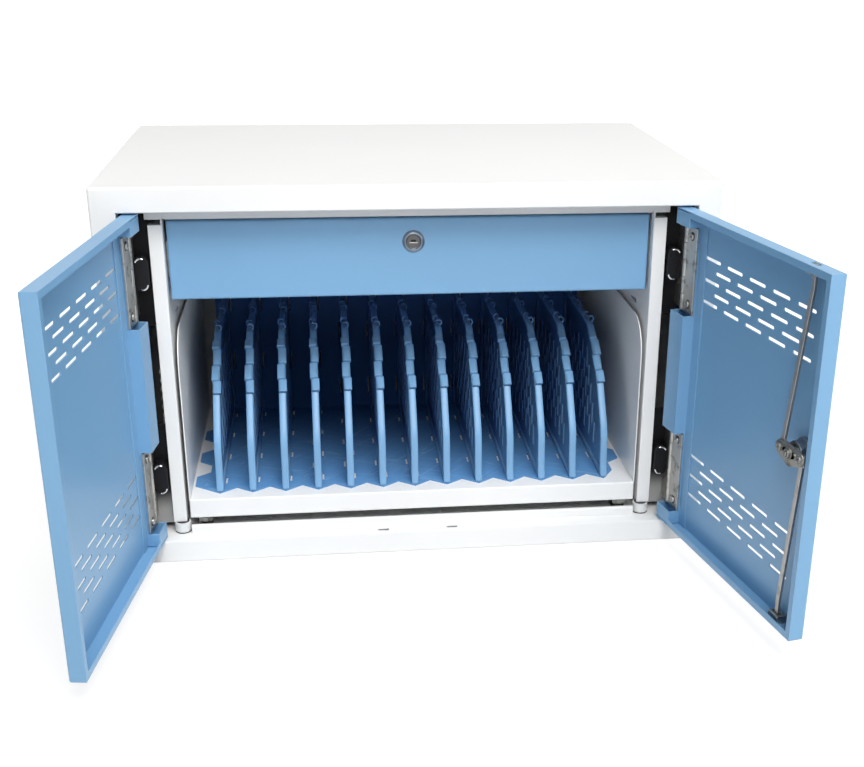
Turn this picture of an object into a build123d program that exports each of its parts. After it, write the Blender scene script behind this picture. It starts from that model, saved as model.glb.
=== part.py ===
"""A desk-top steel cabinet with two vented doors, a locking drawer and a pull-out rack of upright phone bays.

Lengths are in millimetres. X runs to the right, Y to the back and Z up. The origin is the middle of the
case's underside. The doors stand open, and the drawer and the rack are pushed in.
"""

import os
from math import atan2, cos, degrees, hypot, radians, sin

from build123d import *

os.makedirs("parts", exist_ok=True)

SIDES = {"left": -1, "right": 1}

# Case
case_width = 600
case_depth = 390
case_height = 385
case_sheet = 1.5
case_bend = 2.5  # outside radius of the case's folds
face_border = 24  # width of the face round the doorway
face_rim = 10  # how far the face folds back round the outside
face_lip = 16  # how far the face folds back round the doorway
lip_bend = 1.2
floor_leg = 1.5

# Side vents of the case
side_vent_length = 28
side_vent_height = 3.5
side_vent_pitch = 11.8
side_vent_rows = 6
side_vent_low = 2.5  # lowest vent above the inner floor
side_vent_back = 6  # vents' rear ends ahead of the back

# Doors
door_sheet = 1.2
door_thickness = 15
door_bend = 2
door_end_gap = 2
door_side_gap = 2
door_centre_gap = 1
door_lip = 6.5
door_stile = 28  # width of the box section on the hinge side
stile_foot = 14
stile_end_gap = 1
open_angle = {"left": 98, "right": 101}

# Door vents
vent_length = 29.4
vent_height = 3.4
vent_pitch = 41.8
vent_row_pitch = 10.7
vent_columns = 5
vent_rows = 5
vent_margin = 42  # outer vent row from the door's end
vent_start = 55  # first vent's centre from the hinge edge
floor_vent_columns = 9
floor_vent_back = 35.7  # first vent row of the inner floor behind the case's face

# Door hinges
hinge_inset = 5.8  # axis from the door's hinge edge
hinge_set_back = 4.6  # axis behind the door's outer skin
barrel_radius = 3.2
pin_radius = 1.5
pin_clearance = 0.05
knuckle_gap = 0.5
hinge_length = 86
hinge_end = 60  # hinge's middle from the door's end
hinge_notch_gap = 1
leaf_sheet = 2
leaf_offset = 0.1  # front of the door's leaf behind the hinge axis
leaf_reach = 29.2  # outer edge of the door's leaf from the hinge edge
knuckle_count = 5
block_width = 14
block_height = 34
block_depth = 14
block_bend = 1
clip_wire = 1.6
clip_sweep = 130
clip_lean = {1: 20, -1: 40}  # how far the upper and the lower clip lean over
hinge_rail_set_back = 32
hinge_rail_sheet = 1.5
hinge_rail_gap = 1.2
hinge_rail_reach = 55  # rail's ends from the hinge's middle
hinge_rail_flange = 18
screw_head_radius = 3.5
screw_head_height = 1.8
screw_inset = 9

# Rod lock of the right door
keeper_length = 12
keeper_width = 4.5
keeper_offset = 36  # keepers from the middle of the doorway
keeper_set_back = 7.15
rod_width = 5
rod_sheet = 2.5
rod_straight = 22
lock_from_edge = 28.5  # lock's axis from the door's free edge
lock_bore = 8
lock_lift = 3.5  # lock's axis above the door's middle
lock_radius = 10.5
lock_flange_radius = 12.5
lock_flange_height = 3
lock_rise = 12  # top of the lock's housing behind the outer skin
lock_bend = 1.2
escutcheon_radius = 14
escutcheon_height = 3
spindle_radius = 5
crank_radius = 16  # crank pins from the lock's axis
crank_sheet = 2
crank_body_radius = 10
crank_body_drop = 2
crank_lobe_radius = 6.5
crank_pin_radius = 2
crank_turn = 45
yoke_play = 0.6
yoke_rim = 1.8
yoke_level = 12.5  # back of the rods' yokes behind the outer skin
stack_gap = 0.5
guide_height = 8
guide_wall = 2
bolt_radius = 5.3
bolt_height = 5

# Rack
rack_inset = 62  # rack's inner face from the outside of the case
rack_set_back = 22
rack_back_gap = 40
rack_sheet = 1.5
rack_bend = 1.2
post_width = 13.2
foot_height = 11
foot_radius = 8.25
foot_offset = 4.7  # feet outside the rack's inner face
foot_front = 3.5  # front feet behind the rack's front
foot_back = 16.5  # rear feet ahead of the rack's back
foot_bend = 2.5
washer_height = 1
washer_radius = 6.5
rack_top_gap = 16  # rack's top below the doorway's top
rack_hole_radius = 4.5
rack_hole_back = 57.5
rack_hole_height = 187.5
rack_slot_length = 23
rack_slot_width = 3.5
rack_slot_back = 65.5
rack_slot_height = 209
step_set_back = 18
step_height = 8.4
step_foot = 10
step_return = 4
step_foot_gap = 1
rail_set_back = 24
top_rail_gap = 5  # top rail above the rack's sides
top_rail_height = 16
top_rail_depth = 23.5
top_rail_corner = 3
bracket_width = 16
bracket_depth = 36
rear_rail_height = 25
rear_rail_depth = 20

# Drawer
drawer_side_gap = 2.5
drawer_set_back = 30
drawer_height = 77
drawer_rise = 2  # drawer's top above the rack's sides
drawer_front_depth = 12
drawer_sheet = 1.2
drawer_bend = 2
drawer_box_low = 5
drawer_box_high = 6
drawer_back_gap = 8
slide_width = 13
slide_height = 35
slide_sheet = 1.2
slide_gap = 0.4
slide_low = 20
slide_lead = 1
cam_lock_radius = 11
cam_lock_rim = 2
cam_lock_bend = 0.8
cam_lock_drop = 23.2
cam_barrel_radius = 9.5
cam_barrel_length = 18
cam_bore = 6.5
keyway_length = 7
keyway_width = 1.6
keyway_depth = 3
cam_sheet = 3
cam_width = 14
cam_reach = 30

# Pull-out tray
tray_sheet = 1.2
tray_side_gap = 3.5
tray_set_back = 24
tray_lip = 20
tray_under_gap = 6.6
tray_back_gap = 50
tray_bend = 1.5
tray_side_height = 178
tray_side_corner = 38
tray_rail_height = 24
tray_rail_width = 12.5
tray_rail_inset = 8
tray_rail_lead = 2.5
tray_tab_height = 6
tray_tab_width = 12
tray_tab_sheet = 1.2
tab_screw_radius = 2.6
hanger_sheet = 1.2

# Phone bays
bay_pitch = 34
divider_count = 13
bay_sheet = 1.5
bay_front = 37  # front points of the bay base
bay_notch = 13
bay_back_gap = 17
bay_back_height = 175
wing_gap = 2.5
wing_root = 13
wing_pitch = 66
wing_first = 57
wing_length = 23
wing_slope = 11
bay_slot_length = 17
bay_slot_width = 2
bay_slot_inset = 5.2
bay_slot_back_gap = 4
back_slot_length = 20
back_slot_first = 27
back_slot_pitch = 35.5
divider_web = 2.6
divider_rim = 6
divider_rim_depth = 5
divider_height = 142.5
divider_back_gap = 3
groove_width = 1.2
groove_depth = 1.6
clip_shift = 1.2
hook_radius = 3.2
hook_wire = 1.6
hook_depth = 4
hook_offset = 0.9
hook_sweep = 235
hook_pair_pitch = 66
hook_stagger = 17
side_slot_length = 26
side_slot_width = 3
side_slot_pitch = 13
side_slot_row_pitch = 36
divider_front = (  # front outline of a divider: distance behind the case's face, height above its foot
    (38, 0),
    (42, 12),
    (45, 50),
    (76, 95),
    (85, 106),
    (101, 118),
    (117, 131),
    (143, divider_height),
)
first_clip = 3  # outline run that carries the first cable clip
clip_count = 3

# Places that follow from the sizes above
front = -case_depth / 2
back = case_depth / 2
half_width = case_width / 2
wall_inside = half_width - case_sheet
door_half = half_width - face_border
door_low = face_border
door_high = case_height - face_border
roof = case_height - case_sheet

panel_width = door_half - door_side_gap - door_centre_gap
panel_low = door_low + door_end_gap
panel_high = door_high - door_end_gap
hinge_x = door_half - door_side_gap - hinge_inset
hinge_y = front + hinge_set_back
hinge_levels = (panel_low + hinge_end, panel_high - hinge_end)
keeper_y = front + keeper_set_back

rack_x = half_width - rack_inset
rack_front = front + rack_set_back
rack_back = back - rack_back_gap
rack_low = door_low + foot_height + washer_height
rack_high = door_high - rack_top_gap
foot_x = rack_x + foot_offset
step_x = foot_x - foot_radius - step_foot_gap
step_top = door_low + step_height

tray_x = rack_x - tray_side_gap
tray_front = front + tray_set_back
tray_back = rack_back - tray_back_gap
tray_low = step_top + tray_under_gap
tray_top = tray_low + tray_lip
bay_top = tray_top + bay_sheet
bay_back = tray_back - bay_back_gap


def block(x, y, z, mode=Mode.ADD):
    """Adds a block between a pair of values along each axis, or cuts it away."""
    spans = [sorted(pair) for pair in (x, y, z)]
    with Locations(tuple((low + high) / 2 for low, high in spans)):
        Box(*(high - low for low, high in spans), mode=mode)


def drum(centre, radius, length, plane, mode=Mode.ADD):
    """Adds a cylinder that starts at a point and runs along a plane's normal, or cuts it away."""
    with Locations(Plane(origin=centre, x_dir=plane.x_dir, z_dir=plane.z_dir).location):
        Cylinder(radius, length, align=(Align.CENTER, Align.CENTER, Align.MIN), mode=mode)


def keep(piece, name):
    """Labels a finished piece and writes it."""
    piece.part.label = name
    export_step(piece.part, f"parts/{name}.step")


LOOK_OUT = Plane(origin=(0, 0, 0), x_dir=(1, 0, 0), z_dir=(0, -1, 0))
LOOK_IN = Plane(origin=(0, 0, 0), x_dir=(1, 0, 0), z_dir=(0, 1, 0))

# ---------------------------------------------------------------- case

with BuildPart() as case_wrap:
    block((-half_width, half_width), (front + face_rim, back), (0, case_height))
    block((-wall_inside, wall_inside), (front + face_rim, back), (0, roof), Mode.SUBTRACT)
    long_edges = case_wrap.edges().filter_by(Axis.Y).group_by(Axis.Z)
    fillet(long_edges[-1], case_bend)
    fillet(long_edges[-2], case_bend - case_sheet)
    vent_middle = back - side_vent_back - side_vent_length / 2
    vent_levels = [door_low + side_vent_low + side_vent_pitch * row for row in range(side_vent_rows)]
    with BuildSketch(Plane.YZ.offset(-half_width)):
        with Locations(*[(vent_middle, level) for level in vent_levels]):
            SlotOverall(side_vent_length, side_vent_height)
    extrude(amount=case_width, mode=Mode.SUBTRACT)
keep(case_wrap, "case_wrap")

with BuildPart() as face_frame:
    block((-half_width, half_width), (front, front + face_rim), (0, case_height))
    fillet(face_frame.edges().filter_by(Axis.Y), case_bend)
    fillet(face_frame.faces().sort_by(Axis.Y)[0].edges(), case_bend)
    offset(amount=-case_sheet, openings=face_frame.faces().sort_by(Axis.Y)[-1])
    block(
        (-door_half - case_sheet, door_half + case_sheet),
        (front, front + face_lip),
        (door_low - case_sheet, door_high + case_sheet),
    )
    block((-door_half, door_half), (front, front + face_lip), (door_low, door_high), Mode.SUBTRACT)
    fillet(face_frame.faces().sort_by(Axis.Y)[0].inner_wires()[0].edges(), lip_bend)
    for level in (door_low - case_sheet, door_high):
        with BuildSketch(Plane.XY.offset(level)):
            with Locations((-keeper_offset, keeper_y), (keeper_offset, keeper_y)):
                SlotOverall(keeper_length, keeper_width)
        extrude(amount=case_sheet, mode=Mode.SUBTRACT)
keep(face_frame, "face_frame")

with BuildPart() as base_pan:
    block((-wall_inside, wall_inside), (front + face_rim, back), (0, case_sheet))
keep(base_pan, "base_pan")

with BuildPart() as inner_floor:
    floor_span = (front + face_lip, back - case_sheet)
    block((-wall_inside, wall_inside), floor_span, (door_low - case_sheet, door_low))
    for side in SIDES.values():
        leg = (side * (wall_inside - floor_leg), side * wall_inside)
        block(leg, floor_span, (case_sheet, door_low - case_sheet))
    with BuildSketch(Plane.XY.offset(door_low)):
        for row in range(vent_rows):
            columns = floor_vent_columns - (row + 1) % 2
            with Locations((0, front + floor_vent_back + vent_row_pitch * row)):
                with GridLocations(vent_pitch, 1, columns, 1):
                    SlotOverall(vent_length, vent_height)
    extrude(amount=-case_sheet, mode=Mode.SUBTRACT)
keep(inner_floor, "inner_floor")

with BuildPart() as back_panel:
    block((-wall_inside, wall_inside), (back - case_sheet, back), (case_sheet, roof))
    fillet(back_panel.edges().filter_by(Axis.Y).group_by(Axis.Z)[-1], case_bend - case_sheet)
keep(back_panel, "back_panel")

# ---------------------------------------------------------------- rack

for name, side in SIDES.items():
    with BuildPart() as rack_side:
        web = (side * rack_x, side * (rack_x + rack_sheet))
        block(web, (rack_front, rack_back), (rack_low, rack_high))
        block(
            (side * rack_x, side * (rack_x + post_width)),
            (rack_front, rack_front + rack_sheet),
            (rack_low, rack_high),
        )
        flange = (side * rack_x, side * (rack_x + post_width))
        flange_span = (rack_front + rack_sheet, rack_back)
        block(flange, flange_span, (rack_low, rack_low + rack_sheet))
        block(flange, flange_span, (rack_high - rack_sheet, rack_high))
        corner = rack_side.edges().filter_by(Axis.Z).sort_by_distance((side * rack_x, rack_front, 0))[0]
        fillet(corner, rack_bend)
        with BuildSketch(Plane.YZ.offset(side * rack_x)):
            with Locations((rack_front + rack_slot_back, rack_low + rack_slot_height)):
                SlotOverall(rack_slot_length, rack_slot_width)
        extrude(amount=rack_sheet, both=True, mode=Mode.SUBTRACT)
    keep(rack_side, f"rack_side_{name}")

with BuildPart() as rack_base:
    step_span = (-step_x, step_x)
    step_front = front + step_set_back
    block(step_span, (step_front, step_front + step_foot), (door_low, step_top))
    fillet(rack_base.edges().filter_by(Axis.X).group_by(Axis.Z)[-1].sort_by(Axis.Y)[0], tray_bend)
    for start, top in ((tray_sheet, step_top - tray_sheet), (step_return, step_top)):
        block(
            step_span,
            (step_front + start, step_front + step_foot),
            (door_low + tray_sheet, top),
            Mode.SUBTRACT,
        )
keep(rack_base, "rack_base")

foot_spots = [
    (side * foot_x, y)
    for side in SIDES.values()
    for y in (rack_front + foot_front, rack_back - foot_back)
]

with BuildPart() as rack_feet:
    with BuildSketch(Plane.XY.offset(door_low)):
        with Locations(*foot_spots):
            Circle(foot_radius)
    extrude(amount=foot_height)
    fillet(rack_feet.edges().group_by(Axis.Z)[0], foot_bend)
keep(rack_feet, "rack_feet")

with BuildPart() as rack_washers:
    with BuildSketch(Plane.XY.offset(door_low + foot_height)):
        with Locations(*foot_spots):
            Circle(washer_radius)
    extrude(amount=washer_height)
keep(rack_washers, "rack_washers")

top_rail_low = rack_high + top_rail_gap
top_rail_y = front + rail_set_back

with BuildPart() as top_rail:
    rail_span = (-rack_x, rack_x)
    block(
        rail_span,
        (top_rail_y, top_rail_y + rack_sheet),
        (top_rail_low, top_rail_low + top_rail_height),
    )
    fillet(top_rail.edges().filter_by(Axis.Y).group_by(Axis.Z)[0], top_rail_corner)
    block(
        (-rack_x + top_rail_corner, rack_x - top_rail_corner),
        (top_rail_y, top_rail_y + top_rail_depth),
        (top_rail_low, top_rail_low + rack_sheet),
    )
keep(top_rail, "top_rail")

with BuildPart() as top_brackets:
    for side in SIDES.values():
        plate = (side * rack_x, side * (rack_x + rack_sheet))
        flange = (side * rack_x, side * (rack_x + bracket_width))
        for start in (top_rail_y, rack_back - bracket_depth):
            block(plate, (start, start + bracket_depth), (rack_high, roof))
            block(flange, (start, start + rack_sheet), (top_rail_low, roof))
            block(flange, (start, start + bracket_depth), (roof - rack_sheet, roof))
keep(top_brackets, "top_brackets")

with BuildPart() as rear_rail:
    rear_span = (rack_back - rear_rail_depth, rack_back)
    block((-rack_x, rack_x), rear_span, (rack_high - rack_sheet, rack_high))
    block(
        (-rack_x, rack_x),
        (rack_back - rear_rail_depth, rack_back - rear_rail_depth + rack_sheet),
        (rack_high - rear_rail_height, rack_high - rack_sheet),
    )
keep(rear_rail, "rear_rail")

# ---------------------------------------------------------------- slide rails

drawer_high = rack_high + drawer_rise
drawer_low = drawer_high - drawer_height
drawer_front_y = front + drawer_set_back
drawer_box_front = drawer_front_y + drawer_front_depth
drawer_box_back = rack_back - rear_rail_depth - drawer_back_gap
drawer_box_x = rack_x - slide_width
slide_z = (drawer_low + slide_low, drawer_low + slide_low + slide_height)
slide_span = (drawer_box_front + slide_lead, drawer_box_back - slide_lead)

tray_rail_x = tray_x - tray_rail_inset
tray_rail_inner = tray_rail_x - tray_rail_width
tray_rail_z = (step_top, step_top + tray_rail_height)
tray_tab_span = (tray_front + tray_rail_lead, tray_front + tray_rail_lead + tray_tab_sheet)
tray_rail_span = (tray_tab_span[1] + slide_lead, tray_back)


def channel(outer, inner, span, z):
    """Adds a C-shaped rail that opens towards the middle of the cabinet."""
    web_side = slide_sheet if outer > inner else -slide_sheet
    block((outer, inner), span, z)
    block((outer - web_side, inner), span, (z[0] + slide_sheet, z[1] - slide_sheet), Mode.SUBTRACT)


with BuildPart() as slide_rails:
    for side in SIDES.values():
        channel(side * rack_x, side * (drawer_box_x + slide_sheet), slide_span, slide_z)
        channel(side * tray_rail_x, side * tray_rail_inner, tray_rail_span, tray_rail_z)
        web = (side * tray_rail_x, side * (tray_rail_x - slide_sheet))
        block(web, tray_rail_span, (door_low, step_top))
        foot = (side * tray_rail_x, side * tray_rail_inner)
        block(foot, tray_rail_span, (door_low, door_low + slide_sheet))
keep(slide_rails, "slide_rails")

with BuildPart() as rack_screws:
    for side in SIDES.values():
        look = Plane(origin=(0, 0, 0), x_dir=(0, 1, 0), z_dir=(-side, 0, 0))
        spot = (side * rack_x, rack_front + rack_hole_back, rack_low + rack_hole_height)
        drum(spot, rack_hole_radius, screw_head_height, look)
keep(rack_screws, "rack_screws")

# ---------------------------------------------------------------- hinges, case side


def knuckle_spans(level):
    """Gives the (low, high) pairs of a hinge's knuckles, from the bottom up."""
    pitch = hinge_length / knuckle_count
    low = level - hinge_length / 2
    half_gap = knuckle_gap / 2
    return [
        (low + pitch * i + half_gap, low + pitch * (i + 1) - half_gap) for i in range(knuckle_count)
    ]


rail_y = front + hinge_rail_set_back
leaf_clear = barrel_radius + knuckle_gap

with BuildPart() as hinge_leaves_fixed:
    for side in SIDES.values():
        axis_x = side * hinge_x
        plate = (axis_x - leaf_sheet / 2, axis_x + leaf_sheet / 2)
        for level in hinge_levels:
            z = (level - hinge_length / 2, level + hinge_length / 2)
            block(plate, (hinge_y + leaf_clear, rail_y), z)
            for low, high in knuckle_spans(level)[::2]:
                drum((axis_x, hinge_y, low), barrel_radius, high - low, Plane.XY)
                block(plate, (hinge_y, hinge_y + leaf_clear), (low, high))
            drum((axis_x, hinge_y, z[0]), pin_radius + pin_clearance, hinge_length, Plane.XY, Mode.SUBTRACT)
keep(hinge_leaves_fixed, "hinge_leaves_fixed")

with BuildPart() as hinge_pins:
    for side in SIDES.values():
        for level in hinge_levels:
            low = level - hinge_length / 2
            drum((side * hinge_x, hinge_y, low), pin_radius, hinge_length, Plane.XY)
keep(hinge_pins, "hinge_pins")

block_out = hinge_x - leaf_sheet / 2
block_middle = block_out - block_width / 2
block_spots = [(side * block_middle, level) for side in SIDES.values() for level in hinge_levels]

with BuildPart() as hinge_blocks:
    with BuildSketch(Plane(origin=(0, rail_y, 0), x_dir=(1, 0, 0), z_dir=(0, -1, 0))):
        with Locations(*block_spots):
            SlotOverall(block_height, block_width, rotation=90)
    extrude(amount=block_depth)
    fillet(hinge_blocks.faces().filter_by(Axis.Y).group_by(Axis.Y)[0].edges(), block_bend)
keep(hinge_blocks, "hinge_blocks")

with BuildPart() as hinge_clips:
    clip_radius = block_width / 2 - block_bend - clip_wire / 2
    for spot_x, level in block_spots:
        turn = 1 if spot_x < 0 else -1
        for end, lean in clip_lean.items():
            centre = (spot_x, rail_y - block_depth, level + end * (block_height - block_width) / 2)
            middle = end * 90 + turn * lean
            with BuildSketch(Plane(origin=centre, x_dir=(1, 0, 0), z_dir=(0, -1, 0))):
                with BuildLine():
                    CenterArc((0, 0), clip_radius, middle - clip_sweep / 2, clip_sweep)
                trace(line_width=clip_wire)
            extrude(amount=clip_wire)
keep(hinge_clips, "hinge_clips")

with BuildPart() as hinge_rails:
    for side in SIDES.values():
        inner = rack_x + post_width + hinge_rail_gap
        for level in hinge_levels:
            z = (level - hinge_rail_reach, level + hinge_rail_reach)
            block((side * inner, side * wall_inside), (rail_y, rail_y + hinge_rail_sheet), z)
            block(
                (side * (wall_inside - hinge_rail_sheet), side * wall_inside),
                (rail_y, rail_y + hinge_rail_flange),
                z,
            )
keep(hinge_rails, "hinge_rails")

# ---------------------------------------------------------------- doors

# A door is drawn shut and about its hinge axis, in a plane that is turned to where the door stands open.
# u runs from the hinge edge to the free edge, and n from the outer skin inwards.


def door_plane(name):
    side = SIDES[name]
    turn = radians(open_angle[name]) * side
    return Plane(origin=(side * hinge_x, hinge_y, 0), x_dir=(cos(turn), sin(turn), 0), z_dir=(0, 0, 1))


def door_x(side, *distances):
    """Turns distances from the hinge edge into places along the door's own X."""
    return tuple(-side * (u - hinge_inset) for u in distances)


def door_y(*depths):
    """Turns depths behind the outer skin into places along the door's own Y."""
    return tuple(n - hinge_set_back for n in depths)


def door_face(name, depth, outwards=False):
    """Gives a plane parallel to the door, at a depth behind its outer skin, with its own X along the door."""
    base = door_plane(name)
    origin = base.from_local_coords(Vector(0, door_y(depth)[0], 0))
    normal = base.y_dir * (-1 if outwards else 1)
    return Plane(origin=origin, x_dir=base.x_dir, z_dir=normal)


def vent_spots(side, height_sign):
    """Gives the centres of the vents, in rows that step half a pitch from one to the next."""
    spots = []
    for end, direction in ((panel_low + vent_margin, 1), (panel_high - vent_margin, -1)):
        for row in range(vent_rows):
            short = row % 2
            for column in range(vent_columns - short):
                u = vent_start + vent_pitch * (column + short / 2)
                spots.append((door_x(side, u)[0], height_sign * (end + direction * vent_row_pitch * row)))
    return spots


into_door = (-90, 0, 0)  # turns a cylinder's axis to point from the outer skin inwards
leaf_low = hinge_set_back + leaf_offset
leaf_high = leaf_low + leaf_sheet
notches = [
    (level - hinge_length / 2 - hinge_notch_gap, level + hinge_length / 2 + hinge_notch_gap)
    for level in hinge_levels
]
lock_u = panel_width - lock_from_edge
lock_z = (panel_low + panel_high) / 2 + lock_lift
rod_u = door_half - door_side_gap - keeper_offset
inside_low = panel_low + door_sheet
inside_high = panel_high - door_sheet

for name, side in SIDES.items():
    plane = door_plane(name)

    with BuildPart(plane) as door_panel:
        block(door_x(side, 0, panel_width), door_y(0, door_thickness), (panel_low, panel_high))
        skin = door_panel.faces().sort_by(Axis(plane.origin, plane.y_dir))
        fillet(skin[0].edges(), door_bend)
        inner_face = door_panel.faces().sort_by(Axis(plane.origin, plane.y_dir))[-1]
        offset(amount=-door_sheet, openings=inner_face)
        lip_depth = door_y(door_thickness - door_sheet, door_thickness)
        block(
            door_x(side, door_sheet, panel_width - door_sheet),
            lip_depth,
            (inside_low, inside_high),
        )
        block(
            door_x(side, door_sheet, panel_width - door_lip),
            lip_depth,
            (panel_low + door_lip, panel_high - door_lip),
            Mode.SUBTRACT,
        )
        block(
            door_x(side, door_sheet, door_stile),
            lip_depth,
            (inside_low, inside_high),
            Mode.SUBTRACT,
        )
        for notch in notches:
            block(door_x(side, 0, door_sheet), door_y(door_sheet, door_thickness), notch, Mode.SUBTRACT)
        face = door_face(name, 0)
        with BuildSketch(face):
            with Locations(*vent_spots(side, face.y_dir.Z)):
                SlotOverall(vent_length, vent_height)
            if name == "right":
                with Locations((door_x(side, lock_u)[0], face.y_dir.Z * lock_z)):
                    Circle(lock_bore + stack_gap)
        extrude(amount=door_sheet, mode=Mode.SUBTRACT)
        if name == "right":
            spot = (door_x(side, rod_u)[0], door_y(keeper_set_back)[0])
            for level in (panel_low, inside_high):
                with Locations((*spot, level)):
                    Box(
                        keeper_length,
                        keeper_width,
                        door_sheet,
                        align=(Align.CENTER, Align.CENTER, Align.MIN),
                        mode=Mode.SUBTRACT,
                    )
    keep(door_panel, f"door_{name}_panel")

    with BuildPart(plane) as door_stile_box:
        stile_z = (inside_low + stile_end_gap, inside_high - stile_end_gap)
        folded = door_stile - door_sheet
        block(
            door_x(side, door_sheet, door_stile),
            door_y(door_thickness - door_sheet, door_thickness),
            stile_z,
        )
        block(door_x(side, folded, door_stile), door_y(door_sheet, door_thickness), stile_z)
        block(
            door_x(side, door_stile, door_stile + stile_foot),
            door_y(door_sheet, 2 * door_sheet),
            stile_z,
        )
        for notch in notches:
            notch_depth = door_y(leaf_low, door_thickness)
            block(door_x(side, door_sheet, door_stile), notch_depth, notch, Mode.SUBTRACT)
    keep(door_stile_box, f"door_{name}_stile")

    with BuildPart(plane) as hinge_leaves:
        for level in hinge_levels:
            z = (level - hinge_length / 2, level + hinge_length / 2)
            plate_depth = door_y(leaf_low, leaf_high)
            block(door_x(side, hinge_inset + leaf_clear, leaf_reach), plate_depth, z)
            for low, high in knuckle_spans(level)[1::2]:
                with Locations((0, 0, low)):
                    Cylinder(barrel_radius, high - low, align=(Align.CENTER, Align.CENTER, Align.MIN))
                block(door_x(side, hinge_inset, hinge_inset + leaf_clear), plate_depth, (low, high))
            with Locations((0, 0, z[0])):
                Cylinder(
                    pin_radius + pin_clearance,
                    hinge_length,
                    align=(Align.CENTER, Align.CENTER, Align.MIN),
                    mode=Mode.SUBTRACT,
                )
    keep(hinge_leaves, f"door_{name}_hinge_leaves")

    with BuildPart(plane) as hinge_backing:
        for level in hinge_levels:
            block(
                door_x(side, hinge_inset + leaf_clear, door_stile - door_sheet),
                door_y(door_sheet, leaf_low),
                (level - hinge_length / 2, level + hinge_length / 2),
            )
    keep(hinge_backing, f"door_{name}_hinge_backing")

    with BuildPart(plane) as hinge_screws:
        screw_u = (hinge_inset + leaf_clear + leaf_reach) / 2
        for level in hinge_levels:
            for end in (-1, 1):
                spot_z = level + end * (hinge_length / 2 - screw_inset)
                spot = (door_x(side, screw_u)[0], door_y(leaf_high)[0], spot_z)
                with Locations(Location(spot, into_door)):
                    Cylinder(
                        screw_head_radius,
                        screw_head_height,
                        align=(Align.CENTER, Align.CENTER, Align.MIN),
                    )
        heads = hinge_screws.faces().sort_by(Axis(plane.origin, plane.y_dir))[-4:]
        fillet(heads.edges(), screw_head_height / 2)
    keep(hinge_screws, f"door_{name}_hinge_screws")

# ---------------------------------------------------------------- rod lock

lock_side = SIDES["right"]
lock_plane = door_plane("right")
lock_x = door_x(lock_side, lock_u)[0]
rod_x = door_x(lock_side, rod_u)[0]
rod_y = door_y(keeper_set_back)[0]


def lock_ring(radius, depth, height, mode=Mode.ADD):
    """Adds a disc about the lock's axis, or cuts it away."""
    with Locations(Location((lock_x, door_y(depth)[0], lock_z), into_door)):
        Cylinder(radius, height, align=(Align.CENTER, Align.CENTER, Align.MIN), mode=mode)


with BuildPart(lock_plane) as lock_housing:
    lock_ring(lock_flange_radius, door_sheet, lock_flange_height)
    lock_ring(lock_radius, door_sheet, lock_rise - door_sheet)
    far_edge = lock_housing.faces().sort_by(Axis(lock_plane.origin, lock_plane.y_dir))[-1].edges()
    fillet(far_edge, lock_bend)
    lock_ring(lock_bore + pin_clearance, 0, door_thickness, Mode.SUBTRACT)
keep(lock_housing, "lock_housing")

with BuildPart(lock_plane) as lock_escutcheon:
    lock_ring(escutcheon_radius, -escutcheon_height, escutcheon_height)
    near_edge = lock_escutcheon.faces().sort_by(Axis(lock_plane.origin, lock_plane.y_dir))[0].edges()
    fillet(near_edge, lock_bend)
    lock_ring(lock_bore + pin_clearance, -2 * escutcheon_height, door_thickness, Mode.SUBTRACT)
keep(lock_escutcheon, "lock_escutcheon")

crank_level = yoke_level + rod_sheet + stack_gap

with BuildPart(lock_plane) as lock_plug:
    lock_ring(lock_bore, -escutcheon_height, escutcheon_height + lock_rise)
    lock_ring(spindle_radius, lock_rise, crank_level - lock_rise)
    block(
        (lock_x - keyway_length / 2, lock_x + keyway_length / 2),
        door_y(-escutcheon_height, keyway_depth - escutcheon_height),
        (lock_z - keyway_width / 2, lock_z + keyway_width / 2),
        Mode.SUBTRACT,
    )
keep(lock_plug, "lock_plug")

with BuildPart(lock_plane) as lock_crank:
    crank_face = door_face("right", crank_level)
    up = crank_face.y_dir.Z
    with BuildSketch(crank_face):
        with Locations((lock_x - crank_radius, up * lock_z), (lock_x + crank_radius, up * lock_z)):
            Circle(crank_lobe_radius)
        with Locations((lock_x, up * (lock_z - crank_body_drop))):
            Circle(crank_body_radius)
        make_hull()
    extrude(amount=crank_sheet)
    for arm in (-1, 1):
        with Locations(Location((lock_x + arm * crank_radius, door_y(yoke_level)[0], lock_z), into_door)):
            Cylinder(
                crank_pin_radius,
                crank_level - yoke_level,
                align=(Align.CENTER, Align.CENTER, Align.MIN),
            )
        top = door_y(crank_level + crank_sheet)[0]
        with Locations(Location((lock_x + arm * crank_radius, top, lock_z), into_door)):
            Cylinder(
                screw_head_radius,
                screw_head_height,
                align=(Align.CENTER, Align.CENTER, Align.MIN),
            )
    with Locations(Location((lock_x, door_y(crank_level + crank_sheet)[0], lock_z), into_door)):
        Cylinder(bolt_radius, bolt_height, align=(Align.CENTER, Align.CENTER, Align.MIN))
keep(lock_crank, "lock_crank")

# The upper rod hangs on the crank pin nearer the hinges, the lower rod on the other one. Each pin runs in a
# level slot of its rod's yoke, which leaves it room to swing as the rod goes straight up or down.
pin_swing = crank_radius * (1 - cos(radians(crank_turn)))
yoke_slot_height = 2 * (crank_pin_radius + yoke_play)
yoke_slot_length = pin_swing + yoke_slot_height

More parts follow.
